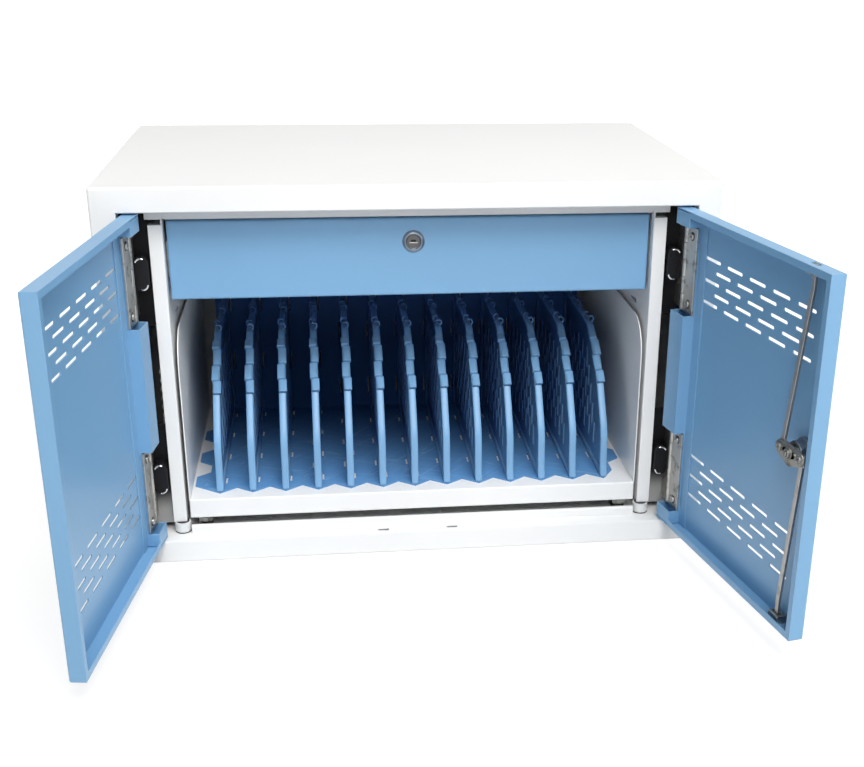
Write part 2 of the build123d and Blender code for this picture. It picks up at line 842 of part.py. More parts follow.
for rod_name, direction in (("rod_upper", 1), ("rod_lower", -1)):
    with BuildPart(lock_plane) as lock_rod:
        pin_x = lock_x + direction * crank_radius
        slot_middle = pin_x - direction * pin_swing / 2
        yoke_half = yoke_slot_length / 2 + yoke_rim
        yoke_depth = door_y(yoke_level, yoke_level + rod_sheet)
        yoke_end = lock_z + direction * (yoke_slot_height / 2 + 2 * yoke_rim)
        block(
            (slot_middle - yoke_half, slot_middle + yoke_half),
            yoke_depth,
            (lock_z - direction * (yoke_slot_height / 2 + yoke_rim), yoke_end),
        )
        block(
            (slot_middle - yoke_slot_length / 2, slot_middle + yoke_slot_length / 2),
            yoke_depth,
            (lock_z - yoke_slot_height / 2, lock_z + yoke_slot_height / 2),
            Mode.SUBTRACT,
        )
        tip = panel_high if direction > 0 else panel_low
        bend = tip - direction * rod_straight
        yoke_y = sum(yoke_depth) / 2
        for level, spot in ((yoke_end, (pin_x, yoke_y)), (bend, (rod_x, rod_y))):
            with BuildSketch(
                Plane(origin=lock_plane.origin, x_dir=lock_plane.x_dir, z_dir=(0, 0, 1)).offset(level)
            ):
                with Locations(spot):
                    Rectangle(rod_width, rod_sheet)
        loft()
        block(
            (rod_x - rod_width / 2, rod_x + rod_width / 2),
            (rod_y - rod_sheet / 2, rod_y + rod_sheet / 2),
            (bend, tip),
        )
    keep(lock_rod, rod_name)

with BuildPart(lock_plane) as rod_guides:
    for level, direction in ((inside_low, 1), (inside_high, -1)):
        z = (level, level + direction * guide_height)
        half = keeper_length / 2 + guide_wall
        block(
            (rod_x - half, rod_x + half),
            door_y(door_bend, keeper_set_back + keeper_width / 2 + guide_wall),
            z,
        )
        block(
            (rod_x - keeper_length / 2, rod_x + keeper_length / 2),
            (rod_y - keeper_width / 2, rod_y + keeper_width / 2),
            z,
            Mode.SUBTRACT,
        )
keep(rod_guides, "rod_guides")

# ---------------------------------------------------------------- drawer

drawer_x = rack_x - drawer_side_gap
cam_z = drawer_high - cam_lock_drop
drawer_box_z = (drawer_low + drawer_box_low, drawer_high - drawer_box_high)
cam_hole_radius = cam_barrel_radius + pin_clearance

with BuildPart() as drawer_front:
    block((-drawer_x, drawer_x), (drawer_front_y, drawer_box_front), (drawer_low, drawer_high))
    fillet(drawer_front.faces().sort_by(Axis.Y)[0].edges(), drawer_bend)
    offset(amount=-drawer_sheet, openings=drawer_front.faces().sort_by(Axis.Y)[-1])
    drum((0, drawer_front_y, cam_z), cam_hole_radius, drawer_sheet, LOOK_IN, Mode.SUBTRACT)
keep(drawer_front, "drawer_front")

with BuildPart() as drawer_box:
    block((-drawer_box_x, drawer_box_x), (drawer_box_front, drawer_box_back), drawer_box_z)
    fillet(drawer_box.edges().filter_by(Axis.Z), drawer_bend)
    offset(amount=-drawer_sheet, openings=drawer_box.faces().sort_by(Axis.Z)[-1])
    drum((0, drawer_box_front, cam_z), cam_hole_radius, drawer_sheet, LOOK_IN, Mode.SUBTRACT)
keep(drawer_box, "drawer_box")

runner_z = (slide_z[0] + slide_sheet + slide_gap, slide_z[1] - slide_sheet - slide_gap)

with BuildPart() as drawer_runners:
    for side in SIDES.values():
        outer = rack_x - slide_sheet - slide_gap
        block((side * drawer_box_x, side * outer), slide_span, runner_z)
        block(
            (side * (drawer_box_x + slide_sheet), side * (outer - slide_sheet)),
            slide_span,
            (runner_z[0] + slide_sheet, runner_z[1] - slide_sheet),
            Mode.SUBTRACT,
        )
keep(drawer_runners, "drawer_runners")

with BuildPart() as drawer_lock_body:
    drum((0, drawer_front_y, cam_z), cam_lock_radius, cam_lock_rim, LOOK_OUT)
    fillet(drawer_lock_body.faces().sort_by(Axis.Y)[0].edges(), cam_lock_bend)
    drum((0, drawer_front_y, cam_z), cam_barrel_radius, cam_barrel_length, LOOK_IN)
    drum(
        (0, drawer_front_y - cam_lock_rim, cam_z),
        cam_bore + pin_clearance,
        cam_lock_rim + cam_barrel_length,
        LOOK_IN,
        Mode.SUBTRACT,
    )
keep(drawer_lock_body, "drawer_lock_body")

cam_y = drawer_front_y + cam_barrel_length

with BuildPart() as drawer_lock_plug:
    face_y = drawer_front_y - cam_lock_rim + pin_clearance
    drum((0, face_y, cam_z), cam_bore, cam_y - face_y, LOOK_IN)
    block(
        (-keyway_length / 2, keyway_length / 2),
        (face_y, face_y + keyway_depth),
        (cam_z - keyway_width / 2, cam_z + keyway_width / 2),
        Mode.SUBTRACT,
    )
keep(drawer_lock_plug, "drawer_lock_plug")

with BuildPart() as drawer_lock_cam:
    with BuildSketch(Plane(origin=(0, cam_y, cam_z), x_dir=(1, 0, 0), z_dir=(0, 1, 0))):
        with Locations((cam_reach / 2 - cam_width / 4, 0)):
            SlotOverall(cam_reach + cam_width / 2, cam_width)
    extrude(amount=cam_sheet)
keep(drawer_lock_cam, "drawer_lock_cam")

# ---------------------------------------------------------------- tray

with BuildPart() as tray_shelf:
    block((-tray_x, tray_x), (tray_front, tray_back), (tray_low, tray_top))
    fillet(tray_shelf.edges().filter_by(Axis.Y).group_by(Axis.Z)[-1], tray_bend)
    fillet(tray_shelf.faces().sort_by(Axis.Y)[0].edges().filter_by(Axis.X).sort_by(Axis.Z)[-1], tray_bend)
    open_faces = [tray_shelf.faces().sort_by(Axis.Z)[0], tray_shelf.faces().sort_by(Axis.Y)[-1]]
    offset(amount=-tray_sheet, openings=open_faces)
keep(tray_shelf, "tray_shelf")

with BuildPart() as tray_sides:
    for side in SIDES.values():
        with BuildSketch(Plane.YZ.offset(side * tray_x)):
            side_high = tray_top + tray_side_height
            with BuildLine():
                Polyline(
                    (tray_front, side_high - tray_side_corner),
                    (tray_front, tray_top),
                    (tray_back, tray_top),
                    (tray_back, side_high),
                    (tray_front + tray_side_corner, side_high),
                )
                RadiusArc(
                    (tray_front + tray_side_corner, side_high),
                    (tray_front, side_high - tray_side_corner),
                    -tray_side_corner,
                )
            make_face()
        extrude(amount=-side * tray_sheet)
keep(tray_sides, "tray_sides")

tray_runner_x = (tray_rail_inner + slide_sheet, tray_rail_x - slide_sheet - slide_gap)
tray_runner_z = (tray_rail_z[0] + slide_sheet + slide_gap, tray_rail_z[1] - slide_sheet - slide_gap)

with BuildPart() as tray_runners:
    for side in SIDES.values():
        inner = tray_rail_inner - slide_gap
        span = (tray_tab_span[0], tray_rail_span[1])
        block((side * inner, side * tray_runner_x[1]), span, tray_runner_z)
        block(
            (side * tray_runner_x[0], side * (tray_runner_x[1] - slide_sheet)),
            span,
            (tray_runner_z[0] + slide_sheet, tray_runner_z[1] - slide_sheet),
            Mode.SUBTRACT,
        )
        block(
            (side * inner, side * (inner - hanger_sheet)),
            span,
            (tray_runner_z[0], tray_top - tray_sheet),
        )
        tab_z = (step_top + slide_gap, step_top + tray_tab_height)
        block((side * inner, side * (inner + tray_tab_width)), tray_tab_span, tab_z)
        tab_middle = side * (inner + tray_tab_width / 2)
        drum((tab_middle, tray_tab_span[0], sum(tab_z) / 2), tab_screw_radius, screw_head_height, LOOK_OUT)
keep(tray_runners, "tray_runners")

# ---------------------------------------------------------------- phone bays

divider_xs = [bay_pitch * (i - (divider_count - 1) / 2) for i in range(divider_count)]
last_divider = divider_xs[-1]
wing_tip = tray_x - wing_gap - tray_sheet
wing_base = last_divider + wing_root
bay_y = front + bay_front


def wing_edge(side):
    """Gives the scalloped side of the bay base, from the front to the back.

    The right side steps half a pitch back from the left one.
    """
    points = []
    start = front + wing_first
    if side > 0:
        points.append((wing_base, start))
        points.append((wing_base, start + wing_pitch / 2 - wing_slope))
        start += wing_pitch / 2
    while start + wing_length + wing_slope < bay_back:
        points.append((side * wing_tip, start))
        points.append((side * wing_tip, start + wing_length))
        points.append((side * wing_base, start + wing_length + wing_slope))
        points.append((side * wing_base, start + wing_pitch - wing_slope))
        start += wing_pitch
    return [point for point in points if point[1] < bay_back] + [(side * wing_base, bay_back)]


def front_edge():
    """Gives the zigzag front of the bay base, from left to right."""
    points = [(divider_xs[0], bay_y)]
    for x in divider_xs[1:]:
        points.append((x - bay_pitch / 2, bay_y + bay_notch))
        points.append((x, bay_y))
    return points


with BuildPart() as bay_base:
    with BuildSketch(Plane.XY.offset(tray_top)):
        with BuildLine():
            outline = list(reversed(wing_edge(-1))) + front_edge() + wing_edge(1)
            Polyline(*outline, close=True)
        make_face()
        row = 0
        slot_y = front + wing_first + wing_length / 2
        while slot_y + bay_slot_length / 2 < bay_back - bay_slot_back_gap:
            side = 1 if row % 2 == 0 else -1
            with Locations(*[(x + side * bay_slot_inset, slot_y) for x in divider_xs]):
                Rectangle(bay_slot_width, bay_slot_length, mode=Mode.SUBTRACT)
            row += 1
            slot_y += wing_pitch / 2
    extrude(amount=bay_sheet)
    with BuildSketch(Plane(origin=(0, bay_back, 0), x_dir=(1, 0, 0), z_dir=(0, -1, 0))):
        with Locations((0, tray_top + (bay_back_height + bay_sheet) / 2)):
            Rectangle(2 * wing_base, bay_back_height + bay_sheet)
        row = 0
        slot_z = bay_top + back_slot_first
        while slot_z + back_slot_length / 2 < bay_top + bay_back_height:
            side = -1 if row % 2 == 0 else 1
            with Locations(*[(x + side * bay_slot_inset, slot_z) for x in divider_xs]):
                Rectangle(bay_slot_width, back_slot_length, mode=Mode.SUBTRACT)
            row += 1
            slot_z += back_slot_pitch
    extrude(amount=-bay_sheet)
keep(bay_base, "bay_base")

divider_points = [(front + y, bay_top + z) for y, z in divider_front]
divider_back = bay_back - divider_back_gap
divider_top = bay_top + divider_height
divider_outline = [*divider_points, (divider_back, divider_top), (divider_back, bay_top)]
hook_start = divider_points[-1][0]


def run_place(run):
    """Gives the middle, the tilt and the length of one run of a divider's front outline."""
    (y0, z0), (y1, z1) = divider_points[run], divider_points[run + 1]
    return ((y0 + y1) / 2, (z0 + z1) / 2), degrees(atan2(z1 - z0, y1 - y0)), hypot(y1 - y0, z1 - z0)


def web_slots():
    """Gives the centres of the tall slots in a divider's side, in columns that step half a row."""
    inset = divider_rim_depth + side_slot_pitch
    spots = []
    column = 0
    y = divider_points[first_clip - 1][0] + inset
    while y < divider_back - inset:
        z = bay_top + inset + side_slot_length / 2 + (side_slot_row_pitch / 2 if column % 2 else 0)
        while z + side_slot_length / 2 < outline_height(y - side_slot_pitch) - inset:
            spots.append((y, z))
            z += side_slot_row_pitch
        y += side_slot_pitch
        column += 1
    return spots


def outline_height(y):
    """Gives the height of a divider's front outline at a place along Y."""
    for (y0, z0), (y1, z1) in zip(divider_points, divider_points[1:]):
        if y0 <= y <= y1:
            return z0 + (z1 - z0) * (y - y0) / (y1 - y0)
    return divider_top


for number, x in enumerate(divider_xs, 1):
    with BuildPart() as divider:
        with BuildSketch(Plane.YZ.offset(x - divider_web / 2)):
            Polygon(*divider_outline, align=None)
            with Locations(*web_slots()):
                SlotOverall(side_slot_length, side_slot_width, rotation=90, mode=Mode.SUBTRACT)
        extrude(amount=divider_web)
        with BuildSketch(Plane.YZ.offset(x - divider_rim / 2)):
            Polygon(*divider_outline, align=None)
            offset(amount=-divider_rim_depth, kind=Kind.INTERSECTION, mode=Mode.SUBTRACT)
        extrude(amount=divider_rim)
        for step in range(clip_count):
            shift = clip_shift if step % 2 == 0 else -clip_shift
            sign = 1 if shift > 0 else -1
            (y, z), tilt, length = run_place(first_clip + step)
            for edge, mode in ((-sign, Mode.SUBTRACT), (sign, Mode.ADD)):
                reach = divider_rim / 2 + (clip_shift / 2 if mode == Mode.ADD else -clip_shift / 2)
                with Locations(Location((x + edge * reach, y, z), (tilt, 0, 0))):
                    Box(
                        clip_shift,
                        length - groove_width,
                        divider_rim_depth,
                        align=(Align.CENTER, Align.CENTER, Align.MAX),
                        mode=mode,
                    )
        for step in range(clip_count + 1):
            y, z = divider_points[first_clip + step]
            tilt = run_place(min(first_clip + step, first_clip + clip_count - 1))[1]
            with Locations(Location((x, y, z), (tilt, 0, 0))):
                Box(2 * divider_rim, groove_width, 2 * groove_depth, mode=Mode.SUBTRACT)
        y = hook_start
        hook_number = 0
        while y + hook_depth < divider_back:
            side = 1 if hook_number % 2 == 0 else -1
            with BuildSketch(Plane(origin=(x, y, divider_top), x_dir=(1, 0, 0), z_dir=(0, -1, 0))):
                with BuildLine():
                    CenterArc((side * hook_offset, hook_radius), hook_radius, -90, side * hook_sweep)
                trace(line_width=hook_wire)
            extrude(amount=-hook_depth)
            y += hook_stagger if side > 0 else hook_pair_pitch - hook_stagger
            hook_number += 1
    keep(divider, f"divider_{number:02d}")
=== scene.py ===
"""Dresses a desk-top phone cabinet in paint, metal and plastic, and adds its mouldings and fittings.

Lengths are in metres. X runs to the right, Y to the back and Z up, from the middle of the case's underside.
"""

import math
from itertools import product

import bmesh
import bpy
import numpy as np
from bpy.props import FloatProperty, FloatVectorProperty, PointerProperty
from mathutils import Matrix, Vector


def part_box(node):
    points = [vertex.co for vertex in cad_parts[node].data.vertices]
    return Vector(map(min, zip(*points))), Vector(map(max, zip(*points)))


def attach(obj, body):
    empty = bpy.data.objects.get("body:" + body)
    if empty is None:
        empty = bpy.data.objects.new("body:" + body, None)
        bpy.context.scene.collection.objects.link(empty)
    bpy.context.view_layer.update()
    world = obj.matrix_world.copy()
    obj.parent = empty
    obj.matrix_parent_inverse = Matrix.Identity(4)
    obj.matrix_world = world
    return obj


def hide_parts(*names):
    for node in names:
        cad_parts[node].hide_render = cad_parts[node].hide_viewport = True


bl_info = {
    "name": "Phone cabinet",
    "version": (1, 0, 0),
    "blender": (4, 5, 0),
    "location": "3D View > Sidebar > Cabinet",
    "description": "Finishes and small fittings of a desk-top phone cabinet",
    "category": "Object",
}

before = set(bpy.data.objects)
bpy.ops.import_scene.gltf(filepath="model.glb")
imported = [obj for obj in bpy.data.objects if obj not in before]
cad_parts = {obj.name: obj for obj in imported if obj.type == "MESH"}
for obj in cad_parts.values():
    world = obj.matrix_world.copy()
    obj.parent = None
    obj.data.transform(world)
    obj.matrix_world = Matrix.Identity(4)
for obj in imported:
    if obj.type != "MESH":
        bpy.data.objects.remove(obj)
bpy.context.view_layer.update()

SHEET_WHITE = (
    "case_wrap", "face_frame", "base_pan", "inner_floor", "back_panel", "rack_side_left", "rack_side_right",
    "rack_base", "top_rail", "top_brackets", "rear_rail", "tray_shelf", "tray_sides", "drawer_box",
)
SHEET_BLUE = ("door_left_panel", "door_left_stile", "door_right_panel", "door_right_stile", "drawer_front")
DIVIDERS = tuple(sorted(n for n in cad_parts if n.startswith("divider_")))


# ---- settings


def colour(name, text, value):
    """A colour that the sidebar can change."""
    return FloatVectorProperty(
        name=name, description=text, subtype="COLOR", size=3, min=0, max=1, default=value,
    )


def number(name, text, value, **kind):
    """A number that the sidebar can change, plain or of one of the kinds below."""
    return FloatProperty(name=name, description=text, default=value, **kind)


LENGTH = {"unit": "LENGTH", "min": 0, "precision": 5}
POWER = {"unit": "POWER"}
SHARE = {"subtype": "FACTOR", "min": 0, "max": 1}


class PaintSettings(bpy.types.PropertyGroup):
    """Colours and texture of the powder coat."""

    case_colour: colour("Case", "Powder coat of the case, the rack and the tray", (0.875, 0.872, 0.862))
    door_colour: colour("Doors", "Powder coat of the doors and the drawer", (0.197, 0.402, 0.63))
    bay_colour: colour("Bays", "Colour of the bay base", (0.115, 0.29, 0.55))
    divider_colour: colour("Dividers", "Colour of the dividers", (0.195, 0.385, 0.61))
    peel_size: number("Peel size", "Width of the coat's soft bumps", 0.0022, **LENGTH)
    peel_height: number("Peel height", "Height of the coat's soft bumps", 0.00003, **LENGTH)
    gloss: number("Roughness", "Roughness of the powder coat", 0.34, **SHARE)


class MetalSettings(bpy.types.PropertyGroup):
    """Colours of the bare and plated metal."""

    zinc: colour("Zinc", "Plated hinges, guides and cranks", (0.50, 0.49, 0.46))
    steel: colour("Rod steel", "Bare flat bar of the rods", (0.42, 0.41, 0.385))
    chrome: colour("Chrome", "Clips and the rod lock", (0.52, 0.54, 0.57))
    # grey and dark chrome are darker copies of chrome: painted reflection of the blue drawer and the dark
    # room
    chrome_blue_reflection: colour("Grey chrome", "Face of the drawer's lock", (0.24, 0.28, 0.33))
    chrome_dark_reflection: colour("Dark chrome", "Core of the drawer's lock", (0.12, 0.12, 0.12))


class StageSettings(bpy.types.PropertyGroup):
    """Floor, light and camera."""

    floor_size: number("Floor size", "Side of the square floor", 60.0, **LENGTH)
    key_power: number("Key light", "Power of the high key light", 93, **POWER)
    front_power: number("Front light", "Power of the front light", 60, **POWER)
    back_power: number("Back light", "Power of the low light behind", 16, **POWER)
    side_power: number("Side light", "Power of the side light", 20, **POWER)
    sky: number("Sky", "Strength of the even light all round", 0.09)


class CabinetSettings(bpy.types.PropertyGroup):
    """All the settings of the cabinet."""

    paint: PointerProperty(type=PaintSettings)
    metal: PointerProperty(type=MetalSettings)
    stage: PointerProperty(type=StageSettings)


# ---- shader helpers


def feed(tree, socket, value):
    """Links a socket to another one, or sets it to a number, a vector or a colour."""
    if hasattr(value, "is_linked"):
        tree.links.new(value, socket)
    elif socket.type == "RGBA":
        socket.default_value = (*value, 1)
    else:
        socket.default_value = value


def feed_all(tree, node, **values):
    """Feeds the sockets of a node that are named, with underscores for spaces."""
    for key, value in values.items():
        feed(tree, node.inputs[key.replace("_", " ")], value)


def add(tree, kind, **values):
    """Adds a shader node of a kind, such as Math, feeds its named sockets and returns it."""
    node = tree.nodes.new(f"ShaderNode{kind}")
    feed_all(tree, node, **values)
    return node


def new_group(name, inputs, outputs):
    """Starts a shader node group with named sockets, and returns the group and its two ends."""
    group = bpy.data.node_groups.new(name, "ShaderNodeTree")
    for label, kind, value in inputs:
        socket = group.interface.new_socket(label, in_out="INPUT", socket_type=f"NodeSocket{kind}")
        socket.default_value = value
    for label, kind in outputs:
        group.interface.new_socket(label, in_out="OUTPUT", socket_type=f"NodeSocket{kind}")
    return group, group.nodes.new("NodeGroupInput"), group.nodes.new("NodeGroupOutput")


def surface_group(name, colour_value, roughness, *inputs):
    """Starts the node group of one kind of surface: the sockets that all kinds share, and its own inputs."""
    return new_group(
        name,
        [
            ("Colour", "Color", (*colour_value, 1)),
            ("Edge", "Float", 0.0),
            ("Roughness", "Float", roughness),
            *inputs,
        ],
        [("Colour", "Color"), ("Roughness", "Float"), ("Height", "Float")],
    )


def maths(tree, operation, *values, clamp=False):
    """Adds a maths node whose inputs are numbers or sockets, and returns its result."""
    node = add(tree, "Math")
    node.operation = operation
    node.use_clamp = clamp
    for socket, value in zip(node.inputs, values):
        feed(tree, socket, value)
    return node.outputs[0]


def vector_maths(tree, operation, first, second=None):
    """Adds a vector maths node, whose second value is a vector, a scale or none, and returns its result."""
    node = add(tree, "VectorMath")
    node.operation = operation
    feed(tree, node.inputs[0], first)
    if second is not None:
        feed(tree, node.inputs["Scale"] if operation == "SCALE" else node.inputs[1], second)
    return node.outputs["Value" if operation in ("DOT_PRODUCT", "LENGTH") else "Vector"]


def along_axis(tree, vector, axis):
    """Returns one coordinate of a vector: X, Y or Z."""
    return add(tree, "SeparateXYZ", Vector=vector).outputs[axis]


def blend_colours(tree, kind, factor, first, second):
    """Mixes two colours, each a value or a socket, and returns the result."""
    node = add(tree, "Mix")
    node.data_type = "RGBA"
    node.blend_type = kind
    for index, value in ((0, factor), (6, first), (7, second)):
        feed(tree, node.inputs[index], value)
    return node.outputs[2]


def noise(tree, vector, scale, detail=2.0, roughness=0.5):
    """Adds a noise texture on a vector and returns its value."""
    node = add(tree, "TexNoise", Scale=scale, Detail=detail, Roughness=roughness, Vector=vector)
    return node.outputs["Fac"]


def ramp(tree, value, low, high):
    """Maps a value to 0 below low and 1 above high, with a smooth step between."""
    node = add(tree, "MapRange", Value=value, From_Min=low, From_Max=high)
    node.interpolation_type = "SMOOTHSTEP"
    return node.outputs["Result"]


def place_vector(tree):
    """Returns the place on the piece, in metres."""
    return add(tree, "TexCoord").outputs["Object"]


def face_normal(tree):
    """Returns the surface's own normal."""
    return add(tree, "NewGeometry").outputs["Normal"]


def edge_group():
    """Group that finds a piece's outer edges, for edges lighter from wear and painted highlight, and rounds
    them in the light.
    """
    group, start, end = new_group(
        "edge_rounding",
        [("Radius", "Float", 0.0008)],
        [("Edge", "Float"), ("Normal", "Vector")],
    )
    bevel = add(group, "Bevel", Radius=start.outputs["Radius"])
    bevel.samples = 4
    agreement = vector_maths(group, "DOT_PRODUCT", bevel.outputs["Normal"], face_normal(group))
    turned = maths(group, "SUBTRACT", 1.0, agreement)
    feed_all(group, end, Edge=ramp(group, turned, 0.02, 0.3), Normal=bevel.outputs["Normal"])
    return group


def peel_group():
    """Group for powder coat: soft orange peel, fine grain, faint cloudiness, and edges lighter from thin
    paint and painted highlight.

    The foot's colour gives way to the main one at the lower hinges' height. On the hinge rails both colours
    are
    painted shade: black for the shaded cavity beside the doors, grey below for white in shade.
    """
    group, start, end = surface_group(
        "powder_coat", (0.8, 0.8, 0.8), 0.34,
        ("Foot Colour", "Color", (0.8, 0.8, 0.8, 1)),
        ("Peel Scale", "Float", 450.0),
    )
    place = place_vector(group)
    cloud = noise(group, place, 6.0, 3.0)
    grain = noise(group, place, 2600.0, 1.0)
    peel = noise(group, place, start.outputs["Peel Scale"], 1.5)
    shade = maths(group, "MULTIPLY_ADD", cloud, 0.09, 0.955)
    speck = maths(group, "MULTIPLY_ADD", grain, 0.04, 0.98)
    # on the hinge rails this blend by height is painted shade
    above = ramp(group, along_axis(group, place, "Z"), 0.045, 0.075)
    colour_by_height = blend_colours(group, "MIX", above, start.outputs["Foot Colour"], start.outputs["Colour"])
    shaded = vector_maths(group, "SCALE", colour_by_height, maths(group, "MULTIPLY", shade, speck))
    # edges lighter towards bluish white: partly thin paint, partly painted highlight
    edge_thin_paint_and_highlight = maths(group, "MULTIPLY", start.outputs["Edge"], 0.16)
    lighter = blend_colours(group, "SCREEN", edge_thin_paint_and_highlight, shaded, (0.9, 0.92, 0.95))
    uneven = maths(group, "MULTIPLY_ADD", cloud, 0.12, -0.06)
    rough = maths(group, "ADD", start.outputs["Roughness"], uneven)
    bumps = maths(group, "ADD", peel, maths(group, "MULTIPLY", grain, 0.15))
    feed_all(group, end, Colour=lighter, Roughness=rough, Height=bumps)
    return group


def metal_group():
    """Group for rolled and plated metal: fine lines along one direction, smudges, and edges brighter from
    wear and painted highlight.
    """
    group, start, end = surface_group(
        "rolled_metal", (0.6, 0.6, 0.6), 0.32,
        ("Grain Scale", "Vector", (60.0, 60.0, 1800.0)),
        ("Smudge", "Float", 0.5),
    )
    place = place_vector(group)
    stretched = vector_maths(group, "MULTIPLY", place, start.outputs["Grain Scale"])
    lines = noise(group, stretched, 1.0, 3.0, 0.6)
    smudge = noise(group, place, 90.0, 4.0, 0.6)
    tone = maths(group, "MULTIPLY_ADD", lines, 0.22, 0.89)
    shaded = vector_maths(group, "SCALE", start.outputs["Colour"], tone)
    dull = maths(group, "MULTIPLY", ramp(group, smudge, 0.5, 0.72), start.outputs["Smudge"])
    dirt = maths(group, "MULTIPLY", dull, 0.6, clamp=True)
    dirty = blend_colours(group, "MULTIPLY", dirt, shaded, (0.42, 0.41, 0.38))
    # edges brighter: partly wear, partly painted highlight
    wear_and_painted_light = maths(group, "MULTIPLY", start.outputs["Edge"], 0.5)
    brighter = blend_colours(group, "SCREEN", wear_and_painted_light, dirty, (0.8, 0.8, 0.8))
    lined = maths(group, "MULTIPLY_ADD", lines, 0.16, start.outputs["Roughness"])
    rough = maths(group, "MULTIPLY_ADD", dull, 0.2, lined)
    feed_all(group, end, Colour=brighter, Roughness=rough, Height=lines)
    return group


def scratch_lines(group, place):
    """Returns 1 on two sets of long fine scratches, where stretched noise crosses its middle value."""
    lines = []
    for turn in (0.4, -0.9):
        turned = add(group, "VectorRotate", Vector=place, Angle=turn)
        turned.rotation_type = "Z_AXIS"
        drawn = vector_maths(group, "MULTIPLY", turned.outputs[0], (5.0, 90.0, 5.0))
        level = noise(group, drawn, 1.0, 1.0)
        off = maths(group, "ABSOLUTE", maths(group, "SUBTRACT", level, 0.5))
        lines.append(maths(group, "SUBTRACT", 1.0, ramp(group, off, 0.0, 0.012)))
    return maths(group, "MAXIMUM", *lines)


def plastic_group():
    """Group for moulded plastic: fine spark texture, faint flow clouds, edges lighter from rubbing and
    painted highlight, and long fine scratches.

    The scratches lie on level faces only. Shade is painted shade: it darkens the plastic towards navy with
    the place along Y, deeper into the bay, from Shade Start over Shade Run.
    """
    group, start, end = surface_group(
        "moulded_plastic", (0.2, 0.4, 0.6), 0.4,
        ("Scratches", "Float", 0.0),
        ("Shade", "Float", 0.0),
        ("Shade Start", "Float", -0.08),
        ("Shade Run", "Float", 0.2),
    )
    place = place_vector(group)
    flow = noise(group, place, 18.0, 3.0)
    spark = noise(group, place, 1500.0, 2.0)
    tone = maths(group, "MULTIPLY_ADD", flow, 0.14, 0.93)
    shaded = vector_maths(group, "SCALE", start.outputs["Colour"], tone)
    # edges lighter: partly rubbing, partly painted highlight
    edge_rub_and_highlight = maths(group, "MULTIPLY", start.outputs["Edge"], 0.14)
    rubbed_and_highlit = blend_colours(group, "SCREEN", edge_rub_and_highlight, shaded, (0.7, 0.8, 0.9))
    level_face = ramp(group, along_axis(group, face_normal(group), "Z"), 0.5, 0.9)
    scratch = maths(group, "MULTIPLY", scratch_lines(group, place),
                    maths(group, "MULTIPLY", level_face, start.outputs["Scratches"]))
    scratched = blend_colours(group, "SCREEN", scratch, rubbed_and_highlit, (0.5, 0.65, 0.8))
    # painted shade: darker and bluer deeper into the bay along Y
    beyond = maths(group, "SUBTRACT", along_axis(group, place, "Y"), start.outputs["Shade Start"])
    share_of_run = maths(group, "DIVIDE", beyond, start.outputs["Shade Run"], clamp=True)
    depth = maths(group, "MULTIPLY", share_of_run, start.outputs["Shade"])
    painted_depth_shade = blend_colours(group, "MULTIPLY", depth, scratched, (0.22, 0.35, 0.62))
    rough = maths(group, "MULTIPLY_ADD", flow, 0.16, start.outputs["Roughness"])
    feed_all(group, end, Colour=painted_depth_shade, Roughness=rough, Height=spark)
    return group


GROUP_MAKERS = {
    "edge_rounding": edge_group,
    "powder_coat": peel_group,
    "rolled_metal": metal_group,
    "moulded_plastic": plastic_group,
}


def add_group(tree, name, **values):
    """Adds a node of one of the groups, which is built the first time, and feeds its named sockets."""
    node = add(tree, "Group")
    node.node_tree = bpy.data.node_groups.get(name) or GROUP_MAKERS[name]()
    feed_all(tree, node, **values)
    return node


def surface_material(name, group_name, values, bump, bump_distance, edge_radius, **shader):
    """Makes a material of one of the surface groups, with rounded edges and bump, on a Principled shader."""
    material, tree, output = blank_material(name)
    edges = add_group(tree, "edge_rounding", Radius=edge_radius)
    skin = add_group(tree, group_name, Edge=edges.outputs["Edge"], **values)
    relief = add(tree, "Bump", Strength=bump, Distance=bump_distance,
                 Normal=edges.outputs["Normal"], Height=skin.outputs["Height"])
    principled = add(tree, "BsdfPrincipled", Normal=relief.outputs["Normal"],
                     Base_Color=skin.outputs["Colour"], Roughness=skin.outputs["Roughness"], **shader)
    tree.links.new(principled.outputs[0], output.inputs[0])
    return material


def blank_material(name):
    """Makes a material with only an output node, and returns it with its tree and that node."""
    material = bpy.data.materials.new(name)
    material.use_nodes = True
    material.node_tree.nodes.clear()
    return material, material.node_tree, add(material.node_tree, "OutputMaterial")


BUMP_DEPTH = 0.00002


def coat(material, *names):
    """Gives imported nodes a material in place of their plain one."""
    for name in names:
        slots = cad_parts[name].data.materials
        slots.clear()
        slots.append(material)


MM = 0.001
SIDES = {"left": -1, "right": 1}
UP, RIGHTWARDS, FORWARDS, BACKWARDS = (0, 0, 1), (1, 0, 0), (0, -1, 0), (0, 1, 0)

OPEN_ANGLE = {"left": 98, "right": 101}
HINGE_X, HINGE_Y = 268.2 * MM, -190.4 * MM  # a hinge's axis from the middle, and its place along Y
HINGE_SET_BACK = 4.6 * MM  # axis behind the door's outer skin
HINGE_EDGE = 5.8 * MM  # axis from the door's hinge edge
HINGE_LEVELS = (86 * MM, 299 * MM)
HINGE_HALF = 43 * MM  # half a leaf's length
PIN_CAP_SINK = 0.2 * MM  # pin caps into the hinge's ends
CLIP_PLACE = (260.2 * MM, -177.8 * MM)  # clips' middle from the cabinet's middle, and its place along Y
CLIP_RISE_FALL = 10 * MM  # clips above and below a hinge's middle
CLIP_RADIUS, CLIP_WIRE, CLIP_SWEEP = 5.2 * MM, 0.9 * MM, 105
CLIP_LEAN = {1: 20, -1: 40}  # how far the upper and the lower clip lean over
SCREW_U, LEAF_FACE = 19.35 * MM, 6.7 * MM  # hinge screws from the hinge edge and behind the outer skin
SCREW_REACH = 34 * MM  # hinge screws above and below a hinge's middle
